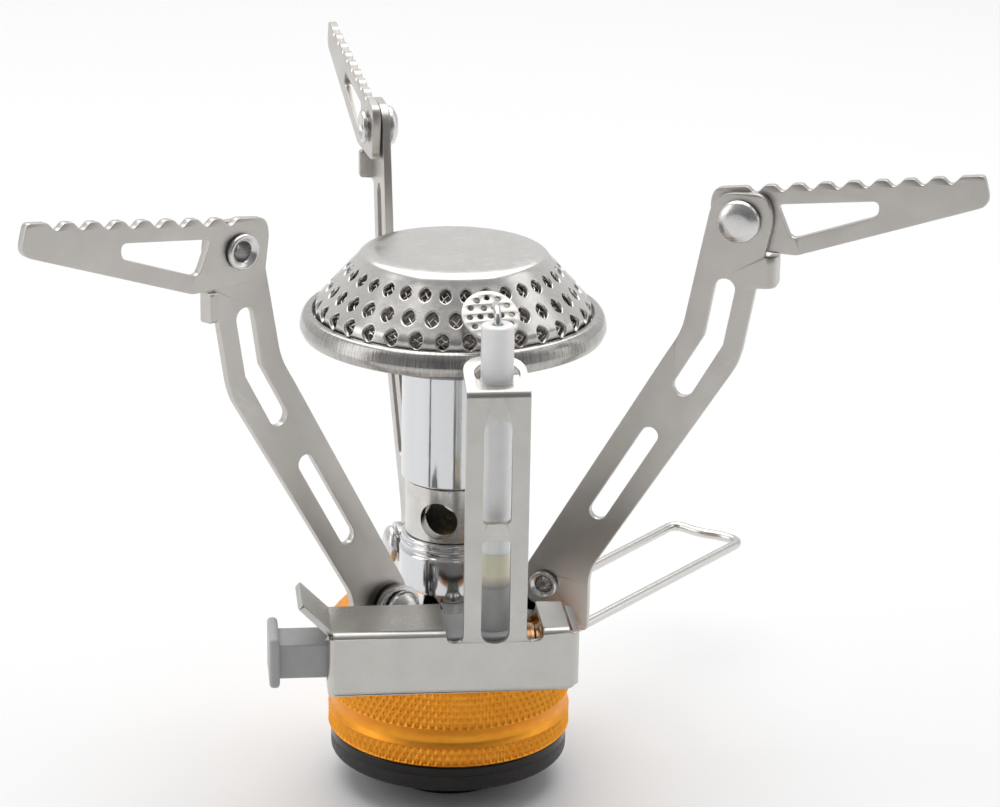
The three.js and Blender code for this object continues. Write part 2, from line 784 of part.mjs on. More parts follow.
function igniterBracket() {
  const t = BRACKET_T;
  const leftTop = [BRACKET_X0, STRIP_X - STRIP_HALF - NOTCH_W];
  const rightTop = [STRIP_X + STRIP_HALF + NOTCH_W, BRACKET_X1 - 1.4];
  const earProfile = outline([[0, 0], [-5.2, 4.5], [-5.8, 3.8], [-0.6, -t]]);
  const ear = extruded(earProfile, 10.0);
  ear.rotateX(Math.PI / 2).translate(BRACKET_X0 + 0.5, BRACKET_BACK_Y, BRACKET_Z1);
  const [front, back] = [BRACKET_FRONT_Y, BRACKET_BACK_Y];
  const leftCap = box(BRACKET_X0, BRACKET_X0 + t, front, back - 0.6, BRACKET_Z0, BRACKET_Z1 - 0.2);
  const rightCap = box(BRACKET_X1 - t, BRACKET_X1, front, back, BRACKET_Z0 + 0.9, BRACKET_Z1);
  const sheet = joined(
    bracketFace(),
    bracketTab(),
    box(...leftTop, front, back, BRACKET_Z1 - t, BRACKET_Z1),
    box(...rightTop, front, back, BRACKET_Z1 - t, BRACKET_Z1),
    ear,
    leftCap,
    rightCap,
    box(-12, 10, front, -20.6, BRACKET_Z0, BRACKET_Z0 + t),
    box(-3.4, 3.4, back, -9.7, BRACKET_Z0, BRACKET_Z0 + t),
  );
  const [windowY, windowZ] = [[IGNITER_Y - 3.7, IGNITER_Y + 3.7], [IGNITER_Z - 3.0, IGNITER_Z + 3.3]];
  const buttonWindow = box(BRACKET_X0 - 1, BRACKET_X0 + 2, ...windowY, ...windowZ);
  const screwHole = rod(1.3, 20, 30).translate(0, BRACKET_SCREW_Y, 0);
  return cut(sheet, buttonWindow, screwHole);
}

function bracketScrew() {
  const z = BRACKET_Z0 + BRACKET_T + GAP;
  return turned([
    [0, 17.6],
    [0.9, 18.2],
    [0.9, z],
    [2.3, z],
    [2.3, z + 0.9],
    [1.5, z + 1.5],
    [0, z + 1.6],
  ], SMALL_ROUND).translate(0, BRACKET_SCREW_Y, 0);
}

const alongX = (geometry) => geometry.rotateY(Math.PI / 2).translate(0, IGNITER_Y, IGNITER_Z);
const aboutElectrode = (geometry) => geometry.translate(ELECTRODE_X, ELECTRODE_Y, 0);

function igniterCase() {
  const y = [IGNITER_Y - 3.9, IGNITER_Y + 4.3];
  const shell = box(-18.0, 6.9, ...y, 26.8, 33.5);
  const neck = aboutElectrode(rod(2.4, 32, GLUE_Z0 - GAP));
  const stemRoom = box(-19, -4, IGNITER_Y - 3.4, IGNITER_Y + 3.4, IGNITER_Z - 2.7, IGNITER_Z + 2.8);
  const strikerHole = alongX(rod(1.3, -5, 1));
  const crystalRoom = alongX(rod(2.3, 0, 8));
  const neckBore = aboutElectrode(rod(1.8, 33.2, 42));
  return cut(joined(shell, neck), stemRoom, strikerHole, crystalRoom, neckBore);
}

function igniterButton() {
  const z = IGNITER_Z + 0.2;
  const pad = outline([
    [IGNITER_Y - 4.25, z - 3.55, 0.8],
    [IGNITER_Y + 4.25, z - 3.55, 0.8],
    [IGNITER_Y + 4.25, z + 3.55, 0.8],
    [IGNITER_Y - 4.25, z + 3.55, 0.8],
  ]);
  const head = extruded(pad, 1.4, 3);
  head.rotateX(Math.PI / 2).rotateZ(Math.PI / 2).translate(-27.0, 0, 0);
  const stem = box(-26, -9.5, IGNITER_Y - 3.1, IGNITER_Y + 3.1, IGNITER_Z - 2.4, IGNITER_Z + 2.5);
  return cut(joined(head, stem), alongX(rod(2.1, -23, -9)));
}

function buttonSpring() {
  const [turns, coilR, x0, x1] = [6, 1.65, -18.0, -4.6];
  const points = [];
  const steps = turns * 8;
  for (let i = 0; i <= steps; i += 1) {
    const angle = (2 * Math.PI * turns * i) / steps;
    const along = x0 + ((x1 - x0) * i) / steps;
    points.push(new THREE.Vector3(coilR * Math.cos(angle), coilR * Math.sin(angle), along));
  }
  const coil = wireAlong(new THREE.CatmullRomCurve3(points), 0.25, steps, 4);
  return alongX(coil);
}

function electrodeInsulator() {
  return aboutElectrode(turned([
    [0.75, 37.2],
    [1.5, 37.2],
    [1.5, CERAMIC_Z0],
    [CERAMIC_R, CERAMIC_Z0 + 0.1],
    [CERAMIC_R, CERAMIC_Z1 - 0.3],
    [CERAMIC_R - 0.3, CERAMIC_Z1],
    [0.75, CERAMIC_Z1],
    [0.75, 37.2],
  ], SMALL_ROUND));
}

function electrodeWire() {
  const rise = new THREE.CatmullRomCurve3([
    new THREE.Vector3(0, 0, 35.2),
    new THREE.Vector3(0, 0, 55),
    new THREE.Vector3(0, 0, 74),
    new THREE.Vector3(0, 0, 75.9),
    new THREE.Vector3(0, 0.4, 77.0),
    new THREE.Vector3(0, 1.5, 77.6),
    new THREE.Vector3(0, 3.6, 77.7),
  ]);
  return aboutElectrode(wireAlong(rise, 0.5, 24, 6));
}

function igniterParts() {
  const glue = aboutElectrode(turned(tubeProfile(1.75, 2.35, GLUE_Z0, 43.5), SMALL_ROUND));
  const endCap = joined(rod(3.3, 7.6, 12.4), rod(3.0, 7.2, 12.8));
  return [
    part('igniter_bracket', igniterBracket(), finish.stainless),
    part('bracket_screw', bracketScrew(), finish.rivet),
    part('igniter_case', igniterCase(), finish.grey),
    part('igniter_button', igniterButton(), finish.grey),
    part('button_spring', buttonSpring(), finish.wire),
    part('striker', alongX(rod(1.0, -22.6, -3.6)), finish.darkSteel),
    part('piezo_crystal', alongX(rod(1.9, 0.6, 6.4)), finish.ceramic),
    part('igniter_end_cap', alongX(endCap), finish.brass),
    part('electrode_insulator', electrodeInsulator(), finish.ceramic),
    part('insulator_glue', glue, finish.glue),
    part('electrode_wire', electrodeWire(), finish.wire),
  ];
}

// ---------------------------------------------------------------- assembly

const stove = groupOf(
  part('threaded_socket', threadedSocket(), finish.blackMetal),
  part('inlet_seal', ringOf(4.0, 0.8, 6.7), finish.rubber),
  part('opener_pin', openerPin(), finish.brass),
  part('canister_pad', turned(tubeProfile(SOCKET_R + GAP, PAD_R, PAD_Z0, PAD_Z1)), finish.rubber),
  part('base_ring', turned(tubeProfile(SOCKET_R + GAP, PAD_R - 0.1, RING_Z0, RING_Z1)), finish.black),
  part('valve_body', valveBody(), finish.orange),
  ...valveParts(),
  part('arm_carrier', armCarrier(), finish.stainless),
  part('tube_socket', tubeSocket(), finish.chrome),
  part('gas_jet', gasJet(), finish.brass),
  part('air_tube', airTube(), finish.chrome),
  part('burner_tube', burnerTube(), finish.chrome),
  part('burner_cup', burnerCup(), finish.stainless),
  part('burner_rim', burnerRim(), finish.stainless),
  part('burner_cap', burnerCap(), finish.stainless),
  part('flame_mesh', flameMesh(), finish.gauze),
  part('ignition_disc', ignitionDisc(), finish.stainless),
  ...ARM_AZIMUTHS.map((azimuth, index) => arm(index, azimuth)),
  ...igniterParts(),
);
stove.position.set(-FOOTPRINT.x, -FOOTPRINT.y, 0);

export default groupOf(stove);
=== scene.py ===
"""A folding canister-top camping stove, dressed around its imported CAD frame.

Shapes are written in millimetres about the burner's axis, with +Z up, and placed in metres.
"""
import json
import math

import bmesh
import bpy
from mathutils import Matrix, Vector


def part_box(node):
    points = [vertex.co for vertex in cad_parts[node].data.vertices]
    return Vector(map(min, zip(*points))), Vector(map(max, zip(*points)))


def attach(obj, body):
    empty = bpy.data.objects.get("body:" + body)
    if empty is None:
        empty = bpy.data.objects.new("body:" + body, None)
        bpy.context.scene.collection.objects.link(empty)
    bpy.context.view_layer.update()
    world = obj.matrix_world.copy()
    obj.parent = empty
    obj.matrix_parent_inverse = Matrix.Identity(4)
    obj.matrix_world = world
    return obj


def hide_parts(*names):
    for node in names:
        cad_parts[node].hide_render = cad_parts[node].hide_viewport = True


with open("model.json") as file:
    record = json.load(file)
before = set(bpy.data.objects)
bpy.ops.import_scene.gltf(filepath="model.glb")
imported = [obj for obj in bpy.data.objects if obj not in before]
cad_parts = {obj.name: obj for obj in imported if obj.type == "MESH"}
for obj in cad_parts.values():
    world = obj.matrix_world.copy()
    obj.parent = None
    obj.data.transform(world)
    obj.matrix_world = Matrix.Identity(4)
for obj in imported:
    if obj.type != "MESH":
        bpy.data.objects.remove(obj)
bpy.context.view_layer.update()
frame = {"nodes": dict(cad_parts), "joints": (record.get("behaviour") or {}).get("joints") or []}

MM = 0.001
body_low, body_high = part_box("valve_body")
AXIS = Vector(((body_low.x + body_high.x) / 2, (body_low.y + body_high.y) / 2, 0.0))
JOINTS = {joint["name"]: joint for joint in frame["joints"]}

# ---------------------------------------------------------------- dimensions, mm

BODY_R = 17.4
KNURL_COUNT = 100                 # diamonds round the body
KNURL_HEIGHT = 1.88
KNURL_DEPTH = 0.36
KNURL_FINE = 8                    # rows and columns of the mesh for each diamond
THREAD_PITCH = 0.907

ARM_T = 1.2
LOWER_OFFSET = 1.9
UPPER_OFFSET = 3.4
EAR_OFFSET = 4.2
EAR_T = 1.0
BASE_PIVOT = (13.55, 30.45)
ARM_PIVOT = (39.95, 86.65)
TEETH = 8
TOOTH_PITCH = 3.77
TOOTH_SLOPE = 0.1477
TOOTH_DEPTH = 0.98
NOTCH_HALF = 1.45
REST_END = 17.6

SHEET = 0.9                       # bracket sheet
BEND_R = 1.1                      # outer radius of its bends
FACE_Y = -31.1
FACE = {"x0": -19.2, "x1": 14.6, "z0": 25.5, "z1": 34.7}
STRIP_X, STRIP_HALF = 3.1, 4.25
STRIP_TOP = 68.3
TAB_RISE = math.radians(13.4)

IGNITER_Y, IGNITER_Z = -26.0, 30.1
ELECTRODE_X, ELECTRODE_Y = 3.3, -26.3
HOLES_PER_ROW = 33
HOLES_TURN = math.radians(1.1)
CONE_FOOT, CONE_HEAD = (19.1, 71.4), (13.2, 78.0)
DISC_CENTRE = (3.2, -18.1, 74.5)
DISC_R = 4.0
DISC_TILT = 41                    # degrees
DISC_HOLE_R = 0.42
AIR_HOLE_R, AIR_HOLE_Z = 2.7, 40.9
GAUZE_STRANDS = 84                # in each of its two families
GAUZE_STEPS = 14                  # crossings up the cone
GAUZE_WIRE_R = 0.12
GAUZE_DEPTH = 0.85                # behind the cap's outside
CARRIER_R = 12.5


# ---------------------------------------------------------------- node helpers

class Nodes:
    """A material's node tree, with short calls for what the looks below share."""

    def __init__(self, name, colour, roughness, metallic=0.0, **sockets):
        self.material = bpy.data.materials.new(name)
        self.material.use_nodes = True
        self.tree = self.material.node_tree
        self.shader = self.tree.nodes["Principled BSDF"]
        self.shader.inputs["Base Color"].default_value = (*colour, 1)
        self.shader.inputs["Roughness"].default_value = roughness
        self.shader.inputs["Metallic"].default_value = metallic
        for socket, value in sockets.items():
            self.shader.inputs[socket.replace("_", " ")].default_value = value
        self.colour, self.roughness = colour, roughness

    def add(self, kind, **values):
        node = self.tree.nodes.new(kind)
        for key, value in values.items():
            setattr(node, key, value)
        return node

    def link(self, source, target):
        self.tree.links.new(source, target)

    def place(self, stretch=(1, 1, 1)):
        """Object coordinates in millimetres about the burner's axis, stretched per axis."""
        coordinates = self.add("ShaderNodeTexCoord")
        mapping = self.add("ShaderNodeMapping")
        mapping.inputs["Scale"].default_value = [s / MM for s in stretch]
        mapping.inputs["Location"].default_value = [-a * s / MM for a, s in zip(AXIS, stretch)]
        self.link(coordinates.outputs["Object"], mapping.inputs["Vector"])
        return mapping.outputs["Vector"]

    def around(self, stretch=(1, 1, 1)):
        """Cylinder coordinates about the burner's axis: angle in radians, radius, height, each stretched per
        axis.
        """
        split = self.add("ShaderNodeSeparateXYZ")
        self.link(self.place(), split.inputs[0])
        angle = self.add("ShaderNodeMath", operation="ARCTAN2")
        self.link(split.outputs["Y"], angle.inputs[0])
        self.link(split.outputs["X"], angle.inputs[1])
        flat = self.add("ShaderNodeCombineXYZ")
        self.link(split.outputs["X"], flat.inputs["X"])
        self.link(split.outputs["Y"], flat.inputs["Y"])
        radius = self.add("ShaderNodeVectorMath", operation="LENGTH")
        self.link(flat.outputs[0], radius.inputs[0])
        joined = self.add("ShaderNodeCombineXYZ")
        self.link(angle.outputs[0], joined.inputs["X"])
        self.link(radius.outputs["Value"], joined.inputs["Y"])
        self.link(split.outputs["Z"], joined.inputs["Z"])
        scaled = self.add("ShaderNodeVectorMath", operation="MULTIPLY")
        scaled.inputs[1].default_value = stretch
        self.link(joined.outputs[0], scaled.inputs[0])
        return scaled.outputs[0]

    def height(self):
        """Millimetres above the base."""
        split = self.add("ShaderNodeSeparateXYZ")
        self.link(self.place(), split.inputs[0])
        return split.outputs["Z"]

    def noise(self, vector, scale, detail=3.0):
        node = self.add("ShaderNodeTexNoise")
        node.inputs["Scale"].default_value = scale
        node.inputs["Detail"].default_value = detail
        node.inputs["Roughness"].default_value = 0.6
        self.link(vector, node.inputs["Vector"])
        return node.outputs["Fac"]

    def ramp(self, value, low, high, low_out, high_out):
        node = self.add("ShaderNodeMapRange")
        limits = {"From Min": low, "From Max": high, "To Min": low_out, "To Max": high_out}
        for socket, number in limits.items():
            node.inputs[socket].default_value = number
        self.link(value, node.inputs["Value"])
        return node.outputs["Result"]

    def vary_roughness(self, value, spread):
        low, high = self.roughness - spread, self.roughness + spread
        self.link(self.ramp(value, 0.3, 0.7, low, high), self.shader.inputs["Roughness"])

    def vary_colour(self, value, other, low=0.35, high=0.65):
        mix = self.add("ShaderNodeMix", data_type="RGBA")
        mix.inputs["A"].default_value = (*self.colour, 1)
        mix.inputs["B"].default_value = (*other, 1)
        self.link(self.ramp(value, low, high, 0, 1), mix.inputs["Factor"])
        self.link(mix.outputs["Result"], self.shader.inputs["Base Color"])

    def bump(self, value, depth):
        """Relief of the given depth in millimetres."""
        node = self.add("ShaderNodeBump")
        node.inputs["Strength"].default_value = 1.0
        node.inputs["Distance"].default_value = depth * MM
        self.link(value, node.inputs["Height"])
        self.link(node.outputs["Normal"], self.shader.inputs["Normal"])


# ---------------------------------------------------------------- materials

def satin_steel():
    look = Nodes("satin_steel", (0.57, 0.55, 0.52), 0.34, 1.0)
    look.vary_roughness(look.noise(look.place(), 0.16, 3.0), 0.05)
    look.vary_colour(look.noise(look.place(), 0.3, 4.0), (0.545, 0.52, 0.49))
    look.bump(look.noise(look.place(), 9.0, 4.0), 0.012)
    return look.material


def bracket_steel():
    look = Nodes("bracket_steel", (0.59, 0.575, 0.545), 0.3, 1.0)
    look.vary_roughness(look.noise(look.place(), 0.2, 3.0), 0.04)
    look.vary_colour(look.noise(look.place(), 0.25, 4.0), (0.55, 0.535, 0.505))
    look.bump(look.noise(look.place(), 9.0, 4.0), 0.005)
    return look.material


def cap_steel():
    look = Nodes("cap_steel", (0.67, 0.655, 0.63), 0.23, 1.0)
    look.vary_roughness(look.noise(look.place(), 0.35, 4.0), 0.07)
    look.vary_colour(look.noise(look.place(), 0.9, 2.0), (0.62, 0.605, 0.58), 0.45, 0.8)
    look.bump(look.noise(look.place(), 5.0, 3.0), 0.005)
    return look.material


def heated_steel():
    look = Nodes("heated_steel", (0.30, 0.27, 0.24), 0.35, 1.0)
    look.vary_colour(look.noise(look.around((3, 0.6, 0.35)), 1.0, 3.0), (0.22, 0.20, 0.185))
    look.vary_roughness(look.noise(look.place(), 0.6, 3.0), 0.06)
    look.bump(look.noise(look.place(), 5.0, 3.0), 0.008)
    return look.material


def rim_steel():
    look = Nodes("rim_steel", (0.53, 0.515, 0.495), 0.2, 1.0)
    look.vary_colour(look.noise(look.around((70, 0.6, 0.35)), 1.0, 3.0), (0.40, 0.385, 0.365))
    look.bump(look.noise(look.around((75, 0.6, 0.35)), 1.0, 3.0), 0.035)
    look.vary_roughness(look.noise(look.around((90, 1, 0.3)), 1.0, 2.0), 0.08)
    return look.material


def chrome():
    look = Nodes("chrome", (0.70, 0.71, 0.72), 0.1, 1.0)
    look.vary_roughness(look.noise(look.place(), 0.5, 4.0), 0.04)
    look.bump(look.noise(look.place((1, 1, 0.3)), 0.9, 2.0), 0.006)
    return look.material


def dull_chrome():
    look = Nodes("dull_chrome", (0.70, 0.685, 0.66), 0.24, 1.0)
    look.vary_roughness(look.noise(look.place(), 0.6, 4.0), 0.05)
    look.vary_colour(look.noise(look.place(), 0.4, 4.0), (0.62, 0.60, 0.57))
    look.bump(look.noise(look.place((0.4, 0.4, 3.0)), 1.2, 2.0), 0.01)
    return look.material


def polished_steel():
    look = Nodes("polished_steel", (0.70, 0.69, 0.68), 0.25, 1.0)
    look.vary_roughness(look.noise(look.place(), 1.2, 4.0), 0.05)
    look.bump(look.noise(look.place(), 2.5, 3.0), 0.006)
    return look.material


def anodised():
    look = Nodes("anodised_amber", (0.94, 0.395, 0.042), 0.43, 1.0)
    look.vary_colour(look.noise(look.around((6, 1, 0.7)), 1.0, 2.0), (0.87, 0.345, 0.033))
    look.vary_roughness(look.noise(look.place(), 0.8, 3.0), 0.05)
    look.bump(look.noise(look.place(), 7.0, 3.0), 0.008)
    return look.material


def black_gloss():
    look = Nodes("black_gloss", (0.008, 0.007, 0.007), 0.2, Specular_IOR_Level=0.35)
    look.vary_roughness(look.noise(look.place(), 1.5, 4.0), 0.07)
    look.bump(look.noise(look.place(), 3.0, 2.0), 0.006)
    return look.material


def black_anodised():
    look = Nodes("black_anodised", (0.022, 0.021, 0.020), 0.38, 0.6)
    look.vary_roughness(look.noise(look.place(), 1.0, 3.0), 0.06)
    look.bump(look.noise(look.place((0.6, 0.6, 14)), 1.0, 2.0), 0.008)
    return look.material


def rubber():
    look = Nodes("rubber", (0.014, 0.013, 0.013), 0.42, Specular_IOR_Level=0.3)
    look.vary_colour(look.noise(look.place(), 0.6, 4.0), (0.022, 0.020, 0.020))
    look.vary_roughness(look.noise(look.place(), 1.0, 3.0), 0.08)
    look.bump(look.noise(look.place(), 6.0, 4.0), 0.02)
    return look.material


def brass():
    look = Nodes("brass", (0.62, 0.44, 0.19), 0.22, 1.0)
    look.vary_roughness(look.noise(look.place(), 1.0, 3.0), 0.06)
    look.bump(look.noise(look.place((0.6, 0.6, 14)), 1.0, 2.0), 0.008)
    return look.material


def copper():
    look = Nodes("copper", (0.42, 0.21, 0.10), 0.26, 1.0)
    look.vary_colour(look.noise(look.place((3, 0.3, 0.3)), 1.0, 2.0), (0.52, 0.33, 0.20))
    look.bump(look.noise(look.place((9, 0.4, 0.4)), 1.0, 2.0), 0.02)
    return look.material


def dark_steel():
    look = Nodes("dark_steel", (0.20, 0.19, 0.18), 0.25, 1.0)
    look.vary_roughness(look.noise(look.place(), 1.4, 3.0), 0.08)
    look.bump(look.noise(look.place(), 4.0, 3.0), 0.01)
    return look.material


def gauze():
    look = Nodes("gauze", (0.88, 0.84, 0.80), 0.2, 1.0)
    look.vary_colour(look.noise(look.place(), 1.0, 3.0), (0.44, 0.37, 0.32), 0.45, 0.7)
    look.bump(look.noise(look.place(), 8.0, 2.0), 0.01)
    return look.material


def grey_plastic():
    look = Nodes(
        "grey_plastic", (0.42, 0.425, 0.425), 0.42, 0.0,
        Subsurface_Weight=0.05, Subsurface_Scale=0.001,
    )
    look.vary_colour(look.noise(look.place(), 0.4, 3.0), (0.385, 0.39, 0.39))
    look.vary_roughness(look.noise(look.place(), 1.1, 3.0), 0.05)
    look.bump(look.noise(look.place(), 9.0, 3.0), 0.008)
    return look.material


def ceramic():
    look = Nodes(
        "ceramic", (0.98, 0.985, 0.99), 0.24, 0.0,
        Subsurface_Weight=0.35, Subsurface_Scale=0.002, Coat_Weight=0.3,
    )
    look.vary_colour(look.noise(look.place(), 0.5, 2.0), (0.95, 0.955, 0.965))
    look.bump(look.noise(look.place(), 1.4, 3.0), 0.006)
    return look.material


def glue():
    look = Nodes("glue", (0.37, 0.375, 0.36), 0.25, 0.0, Subsurface_Weight=0.4, Subsurface_Scale=0.002)
    edge = look.noise(look.place(), 0.7, 2.0)
    ragged = look.add("ShaderNodeMath", operation="ADD")
    look.link(look.height(), ragged.inputs[0])
    look.link(edge, ragged.inputs[1])
    look.vary_colour(ragged.outputs[0], (0.87, 0.79, 0.62), 40.4, 42.0)
    look.bump(edge, 0.03)
    return look.material


def bright_wire():
    look = Nodes("bright_wire", (0.66, 0.65, 0.63), 0.20, 1.0)
    look.vary_roughness(look.noise(look.place(), 1.0, 3.0), 0.06)
    look.bump(look.noise(look.place(), 5.0, 3.0), 0.008)
    return look.material


LOOKS = {make.__name__: make() for make in (
    satin_steel, bracket_steel, cap_steel, heated_steel, rim_steel, chrome, dull_chrome,
    polished_steel, anodised, black_gloss, black_anodised, rubber, brass, copper, dark_steel,
    gauze, grey_plastic, ceramic, glue, bright_wire,
)}


# ---------------------------------------------------------------- mesh helpers

def rounded(corners, steps=5, closed=True):
    """Points through corners given as (x, y) or (x, y, radius), with each corner rounded."""
    points = []
    count = len(corners)
    for i, corner in enumerate(corners):
        here = Vector(corner[:2])
        radius = corner[2] if len(corner) > 2 else 0
        if radius == 0 or (not closed and i in (0, count - 1)):
            points.append(here)
            continue
        before = Vector(corners[i - 1][:2]) - here
        after = Vector(corners[(i + 1) % count][:2]) - here
        reach = min(radius, before.length * 0.49, after.length * 0.49)
        start, end = here + before.normalized() * reach, here + after.normalized() * reach
        for k in range(steps + 1):
            t = k / steps
            points.append(start * (1 - t) ** 2 + here * 2 * t * (1 - t) + end * t * t)
    return points


def divided(points, step, closed=True):
    """The same line with no gap between neighbouring points longer than step."""
    result = []
    for i, here in enumerate(points):
        result.append(here)
        if i == len(points) - 1 and not closed:
            break
        after = points[(i + 1) % len(points)]
        count = max(1, math.ceil((after - here).length / step))
        result += [here.lerp(after, k / count) for k in range(1, count)]
    return result


def circle(centre, radius, sides=32):
    angles = [2 * math.pi * k / sides for k in range(sides)]
    return [Vector((centre[0] + radius * math.cos(a), centre[1] + radius * math.sin(a))) for a in angles]


def slot(points, half):
    """A round-ended slot of a given half width along a line of points."""
    steps = 8
    line = [Vector(p) for p in points]
    sides = ([], [])
    for i, here in enumerate(line):
        along = (line[min(i + 1, len(line) - 1)] - line[max(i - 1, 0)]).normalized()
        across = Vector((-along.y, along.x)) * half
        sides[0].append(here + across)
        sides[1].append(here - across)

    def cap(tip, inner):
        away = (tip - inner).normalized()
        facing = math.atan2(away.y, away.x)
        angles = [facing + math.pi / 2 - math.pi * (k + 1) / steps for k in range(steps - 1)]
        return [tip + Vector((math.cos(a), math.sin(a))) * half for a in angles]

    return sides[0] + cap(line[-1], line[-2]) + sides[1][::-1] + cap(line[0], line[1])


def object_from(name, mesh):
    obj = bpy.data.objects.new(name, mesh)
    bpy.context.scene.collection.objects.link(obj)
    return obj


def mesh_object(name, vertices, faces, merge=1e-4):
    mesh = bpy.data.meshes.new(name)
    mesh.from_pydata([tuple(v) for v in vertices], [], faces)
    work = bmesh.new()
    work.from_mesh(mesh)
    bmesh.ops.remove_doubles(work, verts=work.verts, dist=merge)
    bmesh.ops.dissolve_degenerate(work, edges=work.edges, dist=merge)
    bmesh.ops.recalc_face_normals(work, faces=work.faces)
    work.to_mesh(mesh)
    work.free()
    return object_from(name, mesh)


def with_modifiers(obj):
    """Replaces obj's mesh by what its modifiers make of it."""
    bpy.context.view_layer.update()
    evaluated = obj.evaluated_get(bpy.context.evaluated_depsgraph_get())
    obj.data = bpy.data.meshes.new_from_object(evaluated)
    obj.modifiers.clear()
    return obj


def merged(*objects):
    """One object from several, kept as separate shells."""
    work = bmesh.new()
    for obj in objects:
        work.from_mesh(obj.data)
    mesh = bpy.data.meshes.new(objects[0].name)
    work.to_mesh(mesh)
    work.free()
    name = objects[0].name
    for obj in objects:
        bpy.data.objects.remove(obj)
    return object_from(name, mesh)


def turned(name, corners, sides=96, step=None, relief=None, steps=5):
    """A turned part. corners go round its section as (radius, height, rounding)."""
    profile = rounded(corners, steps)
    if step:
        profile = divided(profile, step)
    vertices = []
    for point in profile:
        for k in range(sides):
            angle = 2 * math.pi * k / sides
            radius = point.x + (relief(angle, point.x, point.y) if relief else 0)
            vertices.append((radius * math.cos(angle), radius * math.sin(angle), point.y))
    count = len(profile)
    faces = []
    for i in range(count):
        for k in range(sides):
            a, b = i * sides, ((i + 1) % count) * sides
            n = (k + 1) % sides
            faces.append((a + k, a + n, b + n, b + k))
    return mesh_object(name, vertices, faces)


def plate(name, outline, holes, thickness, edge=0.12):
    """A flat plate in X and Y, from z = -thickness / 2 to thickness / 2, with rounded edges."""
    curve = bpy.data.curves.new(name, "CURVE")
    curve.dimensions = "2D"
    curve.fill_mode = "BOTH"
    curve.extrude = thickness / 2 - edge
    curve.bevel_depth = edge
    curve.bevel_resolution = 1
    curve.offset = -edge
    for loop in (outline, *holes):
        spline = curve.splines.new("POLY")
        spline.points.add(len(loop) - 1)
        for point, place in zip(spline.points, loop):
            point.co = (place.x, place.y, 0, 1)
        spline.use_cyclic_u = True
    drawn = object_from(name + "_outline", curve)
    bpy.context.view_layer.update()
    evaluated = drawn.evaluated_get(bpy.context.evaluated_depsgraph_get())
    mesh = bpy.data.meshes.new_from_object(evaluated)
    bpy.data.objects.remove(drawn)
    work = bmesh.new()
    work.from_mesh(mesh)
    bmesh.ops.remove_doubles(work, verts=work.verts, dist=1e-4)
    bmesh.ops.recalc_face_normals(work, faces=work.faces)
    work.to_mesh(mesh)
    work.free()
    return object_from(name, mesh)


def sliced(obj, axis, places):
    """Cuts edges across the mesh at the given places along an axis, so that it can bend there."""
    work = bmesh.new()
    work.from_mesh(obj.data)
    normal = Vector([1.0 if i == axis else 0.0 for i in range(3)])
    for place in places:
        bmesh.ops.bisect_plane(
            work, geom=[*work.verts, *work.edges, *work.faces], dist=1e-5,
            plane_co=normal * place, plane_no=normal,
        )
    work.to_mesh(obj.data)
    work.free()
    return obj


def bent(along, out, start, radius, angle):
    """Where a point of a sheet goes when it bends away from its outer face past start."""
    past = along - start
    if past <= 0:
        return along, out
    turn = min(past / radius, angle)
    rest = max(0.0, past - radius * angle)
    along = start + (radius + out) * math.sin(turn) + rest * math.cos(turn)
    return along, -radius + (radius + out) * math.cos(turn) - rest * math.sin(turn)


def reshaped(obj, move):
    for vertex in obj.data.vertices:
        vertex.co = move(vertex.co)
    return obj


def wire(name, points, radius, sides=3):
    """A round wire through points, with its ends filled flat."""
    curve = bpy.data.curves.new(name, "CURVE")
    curve.dimensions = "3D"
    curve.bevel_depth = radius
    curve.bevel_resolution = sides
    curve.use_fill_caps = True
    spline = curve.splines.new("POLY")
    spline.points.add(len(points) - 1)
    for point, place in zip(spline.points, points):
        point.co = (*place, 1)
    drawn = object_from(name + "_line", curve)
    bpy.context.view_layer.update()
    evaluated = drawn.evaluated_get(bpy.context.evaluated_depsgraph_get())
    mesh = bpy.data.meshes.new_from_object(evaluated)
    bpy.data.objects.remove(drawn)
    return object_from(name, mesh)


def block(name, low, high, edge):
    """A box with rounded edges."""
    work = bmesh.new()
    bmesh.ops.create_cube(work, size=1)
    for vertex in work.verts:
        vertex.co = Vector([low[i] + (high[i] - low[i]) * (vertex.co[i] + 0.5) for i in range(3)])
    bmesh.ops.bevel(work, geom=work.edges[:], offset=edge, segments=3, affect="EDGES", profile=0.5)
    mesh = bpy.data.meshes.new(name)
    work.to_mesh(mesh)
    work.free()
    return object_from(name, mesh)


def cut(obj, *tools):
    for tool in tools:
        modifier = obj.modifiers.new("cut", "BOOLEAN")
        modifier.operation = "DIFFERENCE"
        modifier.solver = "EXACT"
        modifier.object = tool
    with_modifiers(obj)
    for tool in tools:
        bpy.data.objects.remove(tool)
    return obj


def moved(obj, matrix):
    obj.data.transform(matrix)
    return obj


def spin(axis, degrees):
    return Matrix.Rotation(math.radians(degrees), 4, axis)


def shift(x, y, z):
    return Matrix.Translation((x, y, z))


def dress(obj, look, body, slot_name, *nodes, sharp=35):
    """Smooths, paints and places a piece, parents it to the body it rides on, and hides the CAD parts it
    stands for.
    """
    obj.data.transform(Matrix.Translation(AXIS) @ Matrix.Scale(MM, 4))
    obj.data.materials.clear()
    obj.data.materials.append(LOOKS[look])
    obj.data.shade_smooth()
    obj.data.set_sharp_from_angle(angle=math.radians(sharp))
    even = obj.modifiers.new("even_normals", "WEIGHTED_NORMAL")
    even.keep_sharp = True
    even.weight = 80
    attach(obj, body)
    if nodes:
        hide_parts(*nodes)
    return obj


# ---------------------------------------------------------------- canister connection

